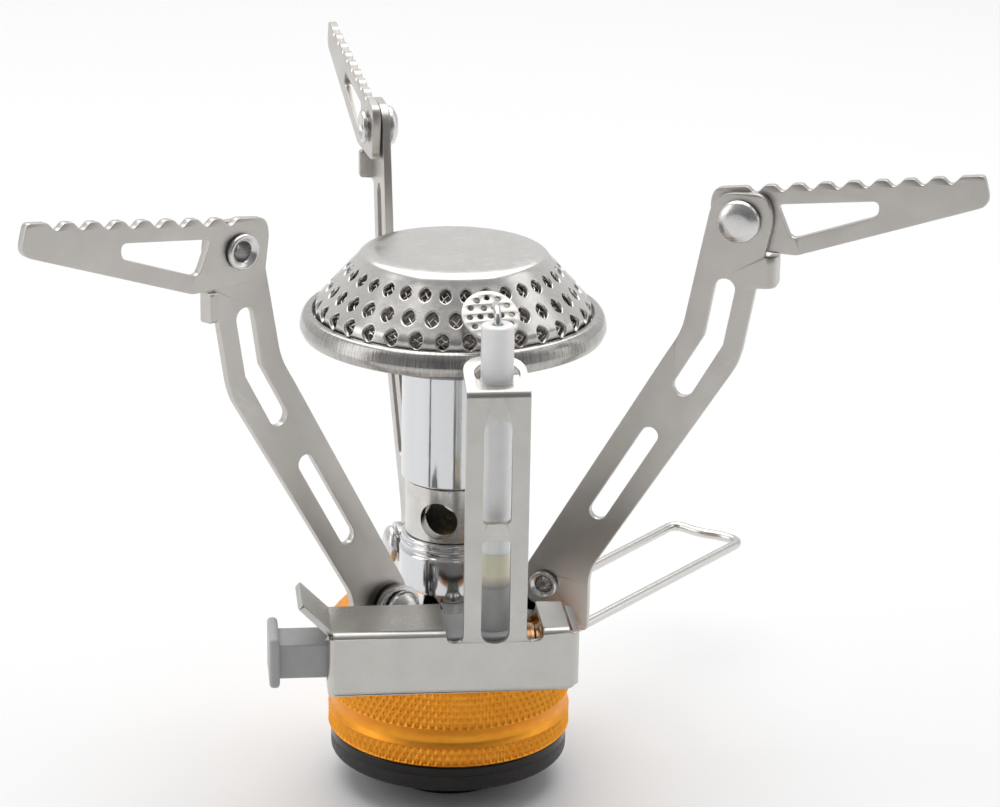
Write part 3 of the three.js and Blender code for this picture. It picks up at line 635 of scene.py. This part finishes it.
def canister_connection():
    def thread(angle, radius, height):
        if radius > 5.6 or height > 7.6 or height < 0.4:
            return 0.0
        phase = (height / THREAD_PITCH - angle / (2 * math.pi)) % 1
        return 0.4 * (1 - abs(2 * phase - 1)) - 0.1

    socket = turned("threaded_socket_cut", [
        (1.6, 7.8), (5.3, 7.8), (5.3, 0.55), (5.9, 0.0), (8.5, 0.0, 0.35), (8.5, 11.2), (1.6, 11.2),
    ], 96, step=0.12, relief=thread)
    dress(socket, "black_anodised", "root", "black_metal", "threaded_socket")

    pad = turned("canister_pad_moulded", [
        (8.8, 4.4, 0.2), (17.0, 4.4, 0.7), (17.0, 6.72, 0.05), (8.8, 6.72, 0.1),
    ], 128)
    dress(pad, "rubber", "root", "rubber", "canister_pad")

    ring = turned("base_ring_gloss", [
        (8.8, 6.74, 0.1), (17.0, 6.74, 0.05), (17.0, 8.1, 0.35), (8.8, 8.1, 0.1),
    ], 128)
    dress(ring, "black_gloss", "root", "black", "base_ring")


def diamonds(angle, height):
    """Depth of the knurl below the body's outside: two families of slanting grooves."""
    turn = KNURL_COUNT * angle / (2 * math.pi)
    rise = height / KNURL_HEIGHT
    families = [1 - abs(2 * ((turn + way * rise) % 1) - 1) for way in (-1, 1)]
    return -KNURL_DEPTH * (1 - min(1.0, 1.1 * min(families)))


def valve_body():
    bands = ((8.55, 11.15), (14.0, 23.3))

    def knurl(angle, radius, height):
        if radius < BODY_R - 0.05:
            return 0.0
        for low, high in bands:
            if low < height < high:
                fade = min(1.0, (height - low) / 0.15, (high - height) / 0.15)
                return diamonds(angle, height) * fade
        return 0.0

    def rows(low, high):
        row = KNURL_HEIGHT / KNURL_FINE
        return [(BODY_R, k * row) for k in range(math.ceil(low / row), math.ceil(high / row))]

    outside = [
        (BODY_R - 0.35, 8.2, 0.1), (BODY_R, 8.5), *rows(8.55, 11.15), (BODY_R, 11.2, 0.04),
        (16.95, 11.75, 0.8), (16.85, 12.9, 0.8), (BODY_R - 0.1, 13.95, 0.1), *rows(14.0, 23.3),
        (BODY_R, 23.4, 0.1), (16.9, 24.1, 0.4), (15.9, 25.1, 0.5), (15.0, 25.2),
    ]
    inside = [(5.0, 25.2), (5.0, 19.7), (1.5, 19.7), (1.5, 11.5), (8.8, 11.5), (8.8, 8.2)]
    sides = KNURL_COUNT * KNURL_FINE
    body = turned("valve_body_knurled", outside + inside, sides, relief=knurl, steps=4)
    dress(body, "anodised", "root", "orange", "valve_body", sharp=50)


# ---------------------------------------------------------------- needle valve

def along_valve():
    axis = JOINTS["valve_turn"]["axis"]
    turn = Matrix.Rotation(math.atan2(axis[1], axis[0]), 4, "Z")
    height = JOINTS["valve_turn"]["pos_m"][2] / MM
    return shift(0, 0, height) @ turn @ spin("Y", 90)


def needle_valve():
    stand = along_valve()
    nut = turned("gland_nut_hexagon", [
        (2.15, 17.6), (4.0, 17.6, 0.3), (4.0, 20.4, 0.5), (2.15, 20.4, 0.2),
    ], 6)
    sleeve = turned("gland_nut_sleeve", [(2.12, 13.0), (3.2, 13.0), (3.2, 17.7), (2.12, 17.7)], 48)
    nut = moved(merged(nut, sleeve), stand)
    dress(nut, "polished_steel", "root", "rivet", "gland_nut")

    stem = turned("valve_spindle_turned", [
        (0, 1.8), (0.25, 1.8), (1.4, 6.0), (2.05, 6.4), (2.05, 9.4), (1.0, 9.4), (1.0, 11.0), (2.05, 11.0),
        (2.05, 20.8, 0.1), (2.9, 20.8, 0.3), (2.9, 24.8, 0.5), (0, 24.8),
    ], 64)
    cross = turned("cross_hole", [(0, -5), (0.85, -5), (0.85, 5), (0, 5)], 32)
    moved(cross, shift(0, 0, 22.8) @ spin("X", 90))
    dress(moved(cut(stem, cross), stand), "brass", "spindle", "brass", "valve_spindle")

    near, far, reach = 6.0, 6.3, 69.15
    corners = [
        (22.8, -1.0), (22.8, -near, 1.3), (reach - 0.05, -far, 2.2), (reach + 0.4, -2.4, 1.9),
        (reach - 0.6, 0.9, 1.9), (reach, far, 2.2), (22.8, near, 1.3), (22.8, 1.0),
    ]
    line = [Vector((p.x, p.y, 0)) for p in rounded(corners, 10, closed=False)]
    handle = moved(wire("valve_handle_wire", line, 0.75, sides=6), spin("Y", -90))
    moved(handle, stand)
    dress(handle, "bright_wire", "handle", "wire", "valve_handle")


# ---------------------------------------------------------------- burner column

def burner_column():
    socket = turned("tube_socket_turned", [
        (3.3, 20.0), (4.7, 20.0), (4.7, 26.8), (6.5, 26.8, 0.3), (7.25, 29.4, 1.5), (7.3, 35.2, 0.3),
        (6.85, 35.6, 0.2), (7.15, 36.0, 0.5), (7.15, 36.5, 0.4), (6.8, 36.7, 0.15), (7.05, 36.95, 0.3),
        (7.0, 37.5, 0.3), (5.5, 37.6), (5.5, 30.5), (3.3, 30.5),
    ], 128)
    dress(socket, "chrome", "root", "chrome", "tube_socket", sharp=45)

    tube = turned("air_tube_drilled", [
        (4.5, 32.0), (5.2, 32.0), (5.2, 37.6), (6.5, 37.62, 0.15), (6.5, 45.55, 0.12), (5.8, 45.6),
        (5.8, 52.0), (4.5, 52.0),
    ], 160)
    drills = []
    for turn in (-112, -22):
        drill = turned("drill", [(0, -9), (AIR_HOLE_R, -9), (AIR_HOLE_R, 9), (0, 9)], 64)
        drills.append(moved(drill, shift(0, 0, AIR_HOLE_Z) @ spin("Z", turn) @ spin("Y", 90)))
    dress(cut(tube, *drills), "dull_chrome", "root", "chrome", "air_tube")

    upper = turned("burner_tube_turned", [
        (6.1, 45.65), (6.5, 45.65, 0.08), (7.08, 46.0, 0.12), (7.08, 62.4, 0.1), (6.1, 62.4),
    ], 128)
    dress(upper, "chrome", "root", "chrome", "burner_tube")


# ---------------------------------------------------------------- burner head

def cone_point(angle, along, depth=0.0):
    """A point of the cap's side: along is millimetres up the cone, or down the skirt when negative."""
    tilt = math.atan2(CONE_FOOT[0] - CONE_HEAD[0], CONE_HEAD[1] - CONE_FOOT[1])
    if along > 0:
        radius, height = CONE_FOOT[0] - along * math.sin(tilt), CONE_FOOT[1] + along * math.cos(tilt)
    else:
        radius, height = CONE_FOOT[0] + 0.1 * min(1.0, -along), CONE_FOOT[1] + along
    facing = tilt * max(0.0, min(1.0, (along + 0.6) / 1.2))
    radius -= depth * math.cos(facing)
    return Vector((radius * math.cos(angle), radius * math.sin(angle), height - depth * math.sin(facing)))


def burner_cap():
    # each row: its lower edge, the middle of its holes, its upper edge, and the holes' width and height
    rows = [(-1.65, 0.0, 1.6, 2.0, 2.85), (1.6, 3.2, 4.95, 1.95, 2.6), (4.95, 6.75, 8.3, 1.8, 2.3)]
    pitch = 2 * math.pi / HOLES_PER_ROW
    quarter = pitch / 4
    vertices, faces = [], []

    def add_ring_faces(rings):
        count = len(rings[0])
        first = [len(vertices) + i * count for i in range(len(rings))]
        for ring in rings:
            vertices.extend(ring)
        for a, b in zip(first, first[1:]):
            for k in range(count):
                n = (k + 1) % count
                faces.append((a + k, a + n, b + n, b + k))

    for row, (low, middle, high, width, tall) in enumerate(rows):
        radius = cone_point(0, middle).x
        for i in range(HOLES_PER_ROW):
            centre = (i + 0.5 * (row % 2)) * pitch - math.pi / 2 + HOLES_TURN
            across = [-2, -1, 0, 1, 2]
            up = [low + (high - low) * k / 4 for k in range(5)]
            border = [(centre + k * quarter, low) for k in across]
            border += [(centre + 2 * quarter, s) for s in up[1:]]
            border += [(centre + k * quarter, high) for k in across[-2::-1]]
            border += [(centre - 2 * quarter, s) for s in up[-2:0:-1]]
            lens = []
            for angle, share in border:
                x, y = (angle - centre) * radius, share - middle
                way = math.atan2(y / tall, x / width)
                t = math.sin(way)
                half = width / 2 * (1 - abs(t) ** 2.5) if abs(t) < 1 else 0
                lens.append((math.copysign(half, math.cos(way)), t * tall / 2))

            def ring(scale, depth):
                return [cone_point(centre + x * scale / radius, middle + y * scale, depth) for x, y in lens]

            add_ring_faces([
                ring(0.9, 0.42), ring(0.94, 0.14), ring(1.02, 0.0), ring(1.1, 0.0),
                [cone_point(angle, share) for angle, share in border],
            ])

    angles = [k * quarter - math.pi / 2 + HOLES_TURN for k in range(4 * HOLES_PER_ROW)]

    def band(profile):
        add_ring_faces([[Vector((r * math.cos(a), r * math.sin(a), z)) for a in angles] for r, z in profile])

    foot = cone_point(0, rows[0][0])
    head = cone_point(0, rows[-1][2])
    band([(18.8, 69.0), (19.15, 69.0), (19.2, 69.3), (foot.x, foot.z)])
    top = [(head.x, head.z), (12.75, 78.6, 1.3), (11.3, 78.9, 1.6), (0.0, 78.9)]
    top = rounded(top, 6, closed=False)
    band([(p.x, p.y) for p in divided(top, 2.5, closed=False)])
    cap = mesh_object("burner_cap_perforated", vertices, faces, 2e-3)
    smooth = cap.modifiers.new("smooth", "SUBSURF")
    smooth.levels = smooth.render_levels = 1
    skin = cap.modifiers.new("sheet", "SOLIDIFY")
    skin.thickness = 0.4
    skin.offset = -1
    dress(with_modifiers(cap), "cap_steel", "root", "stainless", "burner_cap", sharp=60)


def flame_mesh():
    """Woven gauze: two families of slanting wires that pass over and under each other."""
    low, high = -1.35, 8.0
    work = bmesh.new()
    for way in (-1, 1):
        for k in range(GAUZE_STRANDS):
            line = []
            for j in range(GAUZE_STEPS):
                angle = 2 * math.pi * (k + way * j / 2) / GAUZE_STRANDS
                along = low + (high - low) * j / (GAUZE_STEPS - 1)
                line.append(cone_point(angle, along, GAUZE_DEPTH + 0.14 * way * (-1) ** j))
            strand = wire("strand", line, GAUZE_WIRE_R, sides=1)
            work.from_mesh(strand.data)
            bpy.data.objects.remove(strand)
    mesh = bpy.data.meshes.new("flame_mesh_woven")
    work.to_mesh(mesh)
    work.free()
    dress(object_from("flame_mesh_woven", mesh), "gauze", "root", "gauze", "flame_mesh", sharp=80)


def burner_head():
    rim = turned("burner_rim_rolled", [
        (19.6, 69.75, 0.1), (20.1, 69.7), (20.3, 68.0), (20.25, 67.2, 0.3), (20.5, 66.97, 0.3),
        (20.95, 66.97, 0.35), (21.36, 67.9, 0.2), (21.36, 68.25, 0.15), (21.1, 69.5, 0.6),
        (20.5, 70.28, 0.6), (19.6, 70.3, 0.15),
    ], 192)
    dress(rim, "rim_steel", "root", "stainless", "burner_rim", sharp=50)

    cup = turned("burner_cup_pressed", [
        (5.2, 56.0, 0.1), (5.8, 56.0, 0.2), (5.8, 62.43, 0.1), (7.1, 62.45, 0.3), (12.0, 63.6, 2.0),
        (17.0, 65.8, 2.0), (20.0, 66.6, 0.2), (20.0, 67.3, 0.1), (16.8, 66.6, 2.0),
        (11.8, 64.5, 2.0), (7.0, 63.4, 1.0), (5.2, 63.1, 0.3),
    ], 128)
    dress(cup, "heated_steel", "root", "stainless", "burner_cup")

    burner_cap()
    flame_mesh()

    holes = [circle((0, 0), DISC_HOLE_R, 16)]
    for count, radius in ((6, 1.45), (12, 2.9)):
        for k in range(count):
            angle = 2 * math.pi * k / count
            place = (radius * math.cos(angle), radius * math.sin(angle))
            holes.append(circle(place, DISC_HOLE_R, 16))
    disc = plate("ignition_disc_perforated", circle((0, 0), DISC_R, 64), holes, 0.35, 0.08)
    azimuth = math.degrees(math.atan2(DISC_CENTRE[1], DISC_CENTRE[0])) + 90
    moved(disc, shift(*DISC_CENTRE) @ spin("Z", azimuth) @ spin("X", DISC_TILT) @ shift(0, 0, 0.2))
    dress(disc, "satin_steel", "root", "stainless", "ignition_disc")


# ---------------------------------------------------------------- folding arms

UPRIGHT = Matrix(((1, 0, 0, 0), (0, 0, -1, 0), (0, 1, 0, 0), (0, 0, 0, 1)))   # X and Y drawn, to X and Z


def lower_arm_plate(name):
    tab_start, tab_depth = 44.0, 3.0
    tab_end = tab_start + BEND_R * math.pi / 2 + tab_depth - BEND_R
    outline = rounded([
        (10.55, 32.5, 1.6), (11.0, 27.6, 2.4), (13.0, 26.8, 0.8), (17.9, 26.8, 0.3), (17.9, 24.1, 0.4),
        (20.05, 24.1, 0.7), (20.05, 33.1, 2.0), (40.2, 66.0, 2.4), (40.9, 68.2, 0.8), (42.5, 77.4, 0.3),
        (tab_end, 77.8, 0.5), (tab_end, 81.9, 0.5), (43.5, 81.9, 0.3), (44.6, 87.2, 2.5),
        (43.4, 90.6, 3.0), (36.2, 90.2, 3.0), (35.0, 84.0, 1.5),
        (32.4, 70.3, 2.4), (30.4, 67.0, 1.8),
    ], 8)
    holes = [
        circle(BASE_PIVOT, 1.42),
        circle(ARM_PIVOT, 1.57),
        slot([(38.2, 76.9), (36.9, 69.4), (32.9, 62.3)], 1.45),
        slot([(28.3, 54.6), (21.2, 42.5)], 1.25),
    ]
    arm = plate(name, outline, holes, ARM_T, 0.14)
    sliced(arm, 0, [tab_start - 0.3, *(tab_start + BEND_R * math.pi / 2 * k / 5 for k in range(6))])

    def fold(point):
        along, out = point.x, point.z - ARM_T / 2
        if 77 < point.y < 82.5:
            along, out = bent(along, out, tab_start, BEND_R, math.pi / 2)
        return Vector((along, point.y, out))

    reshaped(arm, fold)
    return moved(arm, shift(0, LOWER_OFFSET, 0) @ UPRIGHT)


def upper_arm_plate(name):
    def edge(u):
        return 91.0 + (u - 39.8) * TOOTH_SLOPE

    corners = [(47.6, 82.2, 1.2), (73.3, 91.8, 1.7), (72.2, edge(72.2) - 0.02, 0.7)]
    for i in reversed(range(TEETH)):
        centre = 41.55 + i * TOOTH_PITCH
        for t in (1, 0.8, 0.6, 0.4, 0.2, 0, -0.2, -0.4, -0.6, -0.8, -1):
            u = centre + NOTCH_HALF * t
            corners.append((u, edge(u) - TOOTH_DEPTH * (1 + math.cos(math.pi * t)) / 2))
    corners += [(35.9, edge(35.9), 2.2), (35.3, 88.4, 1.5), (36.2, 82.3, 1.4), (46.6, 82.2, 0.6)]
    window = rounded([(44.65, 89.0, 0.9), (46.7, 84.35, 1.1), (58.45, 88.8, 1.0), (58.45, 90.85, 1.0)], 6)
    arm = plate(name, rounded(corners, 5), [circle(ARM_PIVOT, 1.57), window], ARM_T, 0.14)
    return moved(arm, shift(0, UPPER_OFFSET + ARM_T / 2, 0) @ UPRIGHT)


def riveted(name, pin, dome, flare, start, end):
    """A hollow rivet along +Z: a domed head past end, a flared mouth before start."""
    return turned(name, [
        (0, start + 2.3), (pin * 0.74, start + 2.2, 0.2), (pin * 0.84, start - 0.2, 0.3),
        (flare * 0.78, start - 0.7, 0.25), (flare * 0.92, start - 0.72, 0.2), (flare, start - 0.35, 0.25),
        (flare - 0.1, start, 0.1), (pin, start), (pin, end), (dome - 0.1, end, 0.1), (dome, end + 0.35, 0.3),
        (dome * 0.93, end + 0.85, 0.8), (dome * 0.6, end + 1.45, 1.2), (0, end + 1.6),
    ], 64)


def arms():
    for number in (1, 2, 3):
        hinge = JOINTS[f"lower_fold_{number}"]
        azimuth = math.degrees(math.atan2(hinge["axis"][0], -hinge["axis"][1]))
        stand = spin("Z", azimuth)
        lower, upper = f"lower_arm_{number}", f"upper_arm_{number}"
        dress(moved(lower_arm_plate(lower + "_pressed"), stand), "satin_steel", lower, "stainless", lower)
        dress(moved(upper_arm_plate(upper + "_toothed"), stand), "satin_steel", upper, "stainless", upper)

        start, end = LOWER_OFFSET - 0.3, EAR_OFFSET + EAR_T + 0.3
        base = riveted(f"base_rivet_{number}_set", 1.35, 2.75, 2.1, start, end)
        moved(base, stand @ shift(BASE_PIVOT[0], 0, BASE_PIVOT[1]) @ spin("X", -90))
        dress(base, "polished_steel", "root", "rivet", f"base_rivet_{number}")

        start, end = -(UPPER_OFFSET + ARM_T + 0.3), -(LOWER_OFFSET - 0.3)
        top = riveted(f"arm_rivet_{number}_set", 1.5, 3.0, 2.45, start, end)
        moved(top, stand @ shift(ARM_PIVOT[0], 0, ARM_PIVOT[1]) @ spin("X", 90))
        dress(top, "polished_steel", lower, "rivet", f"arm_rivet_{number}")

        washer = turned(f"base_washer_{number}_dark", [
            (1.42, 3.4, 0.1), (3.0, 3.4, 0.2), (3.0, 3.9, 0.2), (1.42, 3.9, 0.1),
        ], 64)
        moved(washer, stand @ shift(BASE_PIVOT[0], 0, BASE_PIVOT[1]) @ spin("X", -90))
        dress(washer, "dark_steel", "root", "dark_steel", f"base_washer_{number}")


def arm_carrier():
    bottom, thick = 25.5, 1.0
    disc = turned("arm_carrier_stamped", [
        (5.0, bottom, 0.1), (CARRIER_R, bottom, 0.1), (CARRIER_R, bottom + thick, 0.15),
        (5.0, bottom + thick, 0.1),
    ], 96)
    cut(disc, block("tongue_room", (-3.8, -16, 20), (3.8, -9.3, 30), 0.3))
    pieces = [disc]
    for number in (1, 2, 3):
        axis = JOINTS[f"lower_fold_{number}"]["axis"]
        stand = spin("Z", math.degrees(math.atan2(axis[0], -axis[1])))
        rest = block("rest", (6, 0.9, bottom), (REST_END, EAR_OFFSET + EAR_T, bottom + thick), 0.12)
        ear = plate("ear", rounded([
            (10.0, bottom + 0.1), (17.1, bottom + 0.1), (17.1, 33.5, 3.4), (10.0, 33.5, 3.4),
        ], 8), [circle(BASE_PIVOT, 1.42)], EAR_T, 0.12)
        moved(ear, shift(0, EAR_OFFSET + EAR_T / 2, 0) @ UPRIGHT)
        pieces += [moved(rest, stand), moved(ear, stand)]
    dress(merged(*pieces), "polished_steel", "root", "stainless", "arm_carrier")


# ---------------------------------------------------------------- igniter

def bracket():
    quarter = BEND_R * math.pi / 2
    strip_bend = math.pi / 2 - TAB_RISE

    def reach(depth):
        return quarter + depth - BEND_R

    left_in, right_in = FACE["x0"] + BEND_R, FACE["x1"] - BEND_R
    low_in, high_in = FACE["z0"] + BEND_R, FACE["z1"] - BEND_R
    left_end, right_end = left_in - reach(9.5), right_in + reach(10.1)
    top_end, bottom_end, tongue_end = high_in + reach(10.1), low_in - reach(10.5), low_in - reach(21.4)
    tangent = BEND_R * math.tan(strip_bend / 2)
    strip_in = STRIP_TOP - tangent
    tab_zero = strip_in + BEND_R * strip_bend - tangent
    x0, x1 = STRIP_X - STRIP_HALF, STRIP_X + STRIP_HALF
    ear_in, ear_length = -18.6, 6.2
    outline = rounded([
        (-3.4, tongue_end, 1.8), (3.4, tongue_end, 1.8), (3.4, bottom_end, 0.6), (10.0, bottom_end, 0.8),
        (10.0, 25.5, 0.2), (13.0, 25.5, 0.1), (14.0, 26.5, 0.1),
        (right_end, 26.6, 0.5), (right_end, 34.1, 0.5),
        (13.6, 34.1, 0.2), (13.2, 34.3, 0.2), (13.2, top_end, 0.4), (x1 + 2.3, top_end, 0.4),
        (x1 + 2.3, 33.1, 1.1), (x1, 33.1, 1.1), (x1, tab_zero + 9.4, 4.2), (x0, tab_zero + 9.4, 4.2),
        (x0, 33.1, 1.1), (x0 - 2.3, 33.1, 1.1), (x0 - 2.3, top_end, 0.4), (ear_in - ear_length, top_end, 0.5),
        (ear_in - ear_length, 35.9, 0.5), (ear_in, 35.7, 0.3), (ear_in + 0.1, 34.0, 0.2),
        (left_end, 33.9, 0.5), (left_end, 25.9, 0.5), (-18.2, 25.7, 0.2), (-17.4, 25.5, 0.2),
        (-12.0, 25.5, 0.2), (-12.0, bottom_end, 0.8), (-3.4, bottom_end, 0.6),
    ], 8)
    s0, s1 = STRIP_X - 1.9, STRIP_X + 1.9
    window_mid = left_in - reach(IGNITER_Y - FACE_Y)
    holes = [
        rounded([(s0, 50.0, 0.7), (s1, 50.0, 0.7), (s1, 64.5, 2.3), (s0, 64.5, 2.3)], 8),
        rounded([(s0, 32.9, 2.3), (s1, 32.9, 2.3), (s1, 47.5, 0.7), (s0, 47.5, 0.7)], 8),
        circle((ELECTRODE_X, tab_zero + 4.85), 3.05, 48),
        circle((0, low_in - reach(17.9)), 1.3),
        rounded([
            (window_mid - 3.7, 27.1, 0.4), (window_mid + 3.7, 27.1, 0.4),
            (window_mid + 3.7, 33.2, 0.4), (window_mid - 3.7, 33.2, 0.4),
        ], 4),
    ]
    sheet = plate("igniter_bracket_folded", outline, holes, SHEET, 0.1)
    share = [k / 5 for k in range(6)]
    sliced(sheet, 1, [high_in + quarter * s for s in share] + [low_in - quarter * s for s in share]
           + [strip_in + BEND_R * strip_bend * s for s in share])
    sliced(sheet, 0, [left_in - quarter * s for s in share] + [right_in + quarter * s for s in share]
           + [ear_in - s * BEND_R * 0.78 for s in share])

    def fold(point):
        x, v, out = point.x, point.y, point.z - SHEET / 2
        on_strip = x0 - 0.5 < x < x1 + 0.5
        if on_strip and v > 40:
            v, out = bent(v, out, strip_in, BEND_R, strip_bend)
            return Vector((x, v, out))
        if v > high_in and not on_strip and (x < 13.3 and v > 33.95):
            inner = -SHEET - out
            along, inner = bent(-x, inner, -ear_in, BEND_R, 0.78)
            x, out = -along, -SHEET - inner
            v, out = bent(v, out, high_in, BEND_R, math.pi / 2)
            return Vector((x, v, out))
        if x < left_in and v > 25:
            along, out = bent(-x, out, -left_in, BEND_R, math.pi / 2)
            return Vector((-along, v, out))
        if x > right_in and v > 25:
            along, out = bent(x, out, right_in, BEND_R, math.pi / 2)
            return Vector((along, v, out))
        if v < low_in:
            along, out = bent(-v, out, -low_in, BEND_R, math.pi / 2)
            return Vector((x, -along, out))
        return Vector((x, v, out))

    reshaped(sheet, fold)
    moved(sheet, shift(0, FACE_Y, 0) @ UPRIGHT)
    dress(sheet, "bracket_steel", "root", "stainless", "igniter_bracket")


def along_x(obj):
    return moved(obj, shift(0, IGNITER_Y, IGNITER_Z) @ spin("Y", 90))


def igniter():
    bracket()
    screw = turned("bracket_screw_panhead", [
        (0, 17.6), (0.9, 18.2), (0.9, 26.7), (2.3, 26.7, 0.1), (2.3, 27.5, 0.3), (1.6, 28.2, 0.6), (0, 28.3),
    ], 48)
    slots = [block("driver_slot", (-1.4, -0.3, 27.5), (1.4, 0.3, 29), 0.05),
             block("driver_slot", (-0.3, -1.4, 27.5), (0.3, 1.4, 29), 0.05)]
    moved(cut(screw, *slots), shift(0, -13.2, 0))
    dress(screw, "polished_steel", "root", "rivet", "bracket_screw")

    y0, y1 = IGNITER_Y - 3.9, IGNITER_Y + 4.3
    case = block("igniter_case_moulded", (-18.0, y0, 26.8), (6.9, y1, 33.5), 0.35)
    neck = turned("neck", [(1.8, 33.2), (2.4, 33.2), (2.4, 39.75, 0.2), (1.8, 39.75, 0.1)], 64)
    moved(neck, shift(ELECTRODE_X, ELECTRODE_Y, 0))
    room = block("room", (-19.0, IGNITER_Y - 3.4, 27.4), (-4.0, IGNITER_Y + 3.4, 32.9), 0.1)
    cut(case, room)
    dress(merged(case, neck), "grey_plastic", "root", "grey_plastic", "igniter_case")

    z = IGNITER_Z + 0.2
    head = block(
        "igniter_button_moulded",
        (-27.0, IGNITER_Y - 4.25, z - 3.55), (-25.6, IGNITER_Y + 4.25, z + 3.55), 0.55,
    )
    stem = block(
        "stem", (-26.0, IGNITER_Y - 3.1, IGNITER_Z - 2.4), (-9.5, IGNITER_Y + 3.1, IGNITER_Z + 2.5), 0.3,
    )
    bore = along_x(turned("bore", [(0, -23), (2.1, -23), (2.1, -9), (0, -9)], 32))
    cut(stem, bore)
    dress(merged(head, stem), "grey_plastic", "button", "grey_plastic", "igniter_button")

    end = along_x(turned("igniter_end_cap_ribbed", [
        (0, 7.2), (3.0, 7.2, 0.2), (3.3, 7.6, 0.2), (3.3, 8.8, 0.1), (3.05, 9.0, 0.1),
        (3.05, 9.6, 0.1), (3.3, 9.8, 0.1), (3.3, 11.2, 0.1), (3.05, 11.4, 0.1), (3.3, 12.0, 0.1),
        (3.3, 12.5, 0.2), (3.0, 12.8, 0.2), (0, 12.8),
    ], 64))
    dress(end, "copper", "root", "brass", "igniter_end_cap")

    tube = turned("electrode_insulator_glazed", [
        (0.75, 37.2), (1.5, 37.2, 0.1), (1.5, 43.8), (2.2, 43.9, 0.1), (2.2, 76.1, 0.4), (0.75, 76.1, 0.1),
    ], 64)
    moved(tube, shift(ELECTRODE_X, ELECTRODE_Y, 0))
    dress(tube, "ceramic", "root", "ceramic", "electrode_insulator")

    collar = turned("insulator_glue_set", [
        (1.7, 39.62, 0.1), (2.38, 39.62, 0.1), (2.44, 40.6, 0.5), (2.38, 43.0, 0.8),
        (2.22, 44.6, 0.1), (2.0, 44.6, 0.1), (1.7, 43.7, 0.1),
    ], 48)
    moved(collar, shift(ELECTRODE_X, ELECTRODE_Y, 0))
    dress(collar, "glue", "root", "glue", "insulator_glue")

    tip = [
        (0, 0, 35.2), (0, 0, 75.6), (0, 0.05, 76.3), (0, 0.28, 76.9), (0, 0.8, 77.4), (0, 1.6, 77.66),
        (0, 2.6, 77.75), (0, 3.5, 77.7),
    ]
    electrode = wire("electrode_wire_bent", [Vector(p) for p in tip], 0.5, sides=5)
    moved(electrode, shift(ELECTRODE_X, ELECTRODE_Y, 0))
    dress(electrode, "bright_wire", "root", "wire", "electrode_wire")


def hidden_nodes():
    """Inner pieces keep their CAD shape and get a finish."""
    finishes = {
        "inlet_seal": "rubber", "opener_pin": "brass", "spindle_seal": "rubber", "gas_jet": "brass",
        "button_spring": "bright_wire", "striker": "dark_steel", "piezo_crystal": "ceramic",
    }
    for node, look in finishes.items():
        obj = frame["nodes"][node]
        obj.data.materials.clear()
        obj.data.materials.append(LOOKS[look])


# ---------------------------------------------------------------- studio

CAMERA_PLACE = (-42.12, -428.87, 202.64)       # mm from the burner's axis at the base
CAMERA_TURN, CAMERA_PITCH, CAMERA_ROLL = 6.5, 18.744, 0.989
CAMERA_LENS = 116.75


def camera():
    data = bpy.data.cameras.new("camera")
    data.lens = CAMERA_LENS
    data.sensor_width = 36.0
    data.clip_start, data.clip_end = 0.01, 20
    obj = bpy.data.objects.new("camera", data)
    bpy.context.scene.collection.objects.link(obj)
    aim = spin("Z", -CAMERA_TURN) @ spin("X", 90 - CAMERA_PITCH) @ spin("Z", CAMERA_ROLL)
    obj.matrix_world = Matrix.Translation(AXIS + Vector(CAMERA_PLACE) * MM) @ aim
    bpy.context.scene.camera = obj


def softbox(name, place, size, power):
    data = bpy.data.lights.new(name, "AREA")
    data.shape = "RECTANGLE"
    data.size, data.size_y = size
    data.energy = power
    obj = bpy.data.objects.new(name, data)
    bpy.context.scene.collection.objects.link(obj)
    target = AXIS + Vector((0, 0, 0.05))
    obj.location = target + Vector(place)
    obj.rotation_euler = (target - obj.location).to_track_quat("-Z", "Y").to_euler()
    obj.visible_camera = False


def studio():
    floor = block("floor", (-3000, -3000, -20), (3000, 3000, -0.02), 0.01)
    floor.data.transform(Matrix.Scale(MM, 4))
    look = Nodes("floor", (0.86, 0.86, 0.86), 0.6)
    look.vary_colour(look.noise(look.place(), 0.002, 2.0), (0.85, 0.85, 0.85))
    floor.data.materials.append(look.material)
    world = bpy.data.worlds.new("studio")
    bpy.context.scene.world = world
    world.use_nodes = True
    tree = world.node_tree
    background = tree.nodes["Background"]
    background.inputs["Strength"].default_value = 1.0
    place = tree.nodes.new("ShaderNodeTexCoord")
    split = tree.nodes.new("ShaderNodeSeparateXYZ")
    ramp = tree.nodes.new("ShaderNodeValToRGB")
    ramp.color_ramp.elements[0].position = 0.0
    ramp.color_ramp.elements[0].color = (0.16, 0.16, 0.165, 1)
    ramp.color_ramp.elements[1].position = 0.9
    ramp.color_ramp.elements[1].color = (0.8, 0.8, 0.8, 1)
    shift_up = tree.nodes.new("ShaderNodeMapRange")
    shift_up.inputs["From Min"].default_value = -1
    tree.links.new(place.outputs["Generated"], split.inputs[0])
    tree.links.new(split.outputs["Y"], shift_up.inputs["Value"])
    tree.links.new(shift_up.outputs["Result"], ramp.inputs["Fac"])
    tree.links.new(ramp.outputs["Color"], background.inputs["Color"])
    softbox("top", (0.0, 0.3, 0.9), (1.2, 1.2), 8.2)
    softbox("left", (-0.9, -0.1, 0.35), (0.5, 0.9), 1.7)
    softbox("right", (0.9, 0.0, 0.4), (0.5, 0.9), 1.1)
    bpy.context.scene.view_settings.view_transform = "Standard"


camera()
studio()
canister_connection()
valve_body()
needle_valve()
burner_column()
burner_head()
arm_carrier()
arms()
igniter()
hidden_nodes()
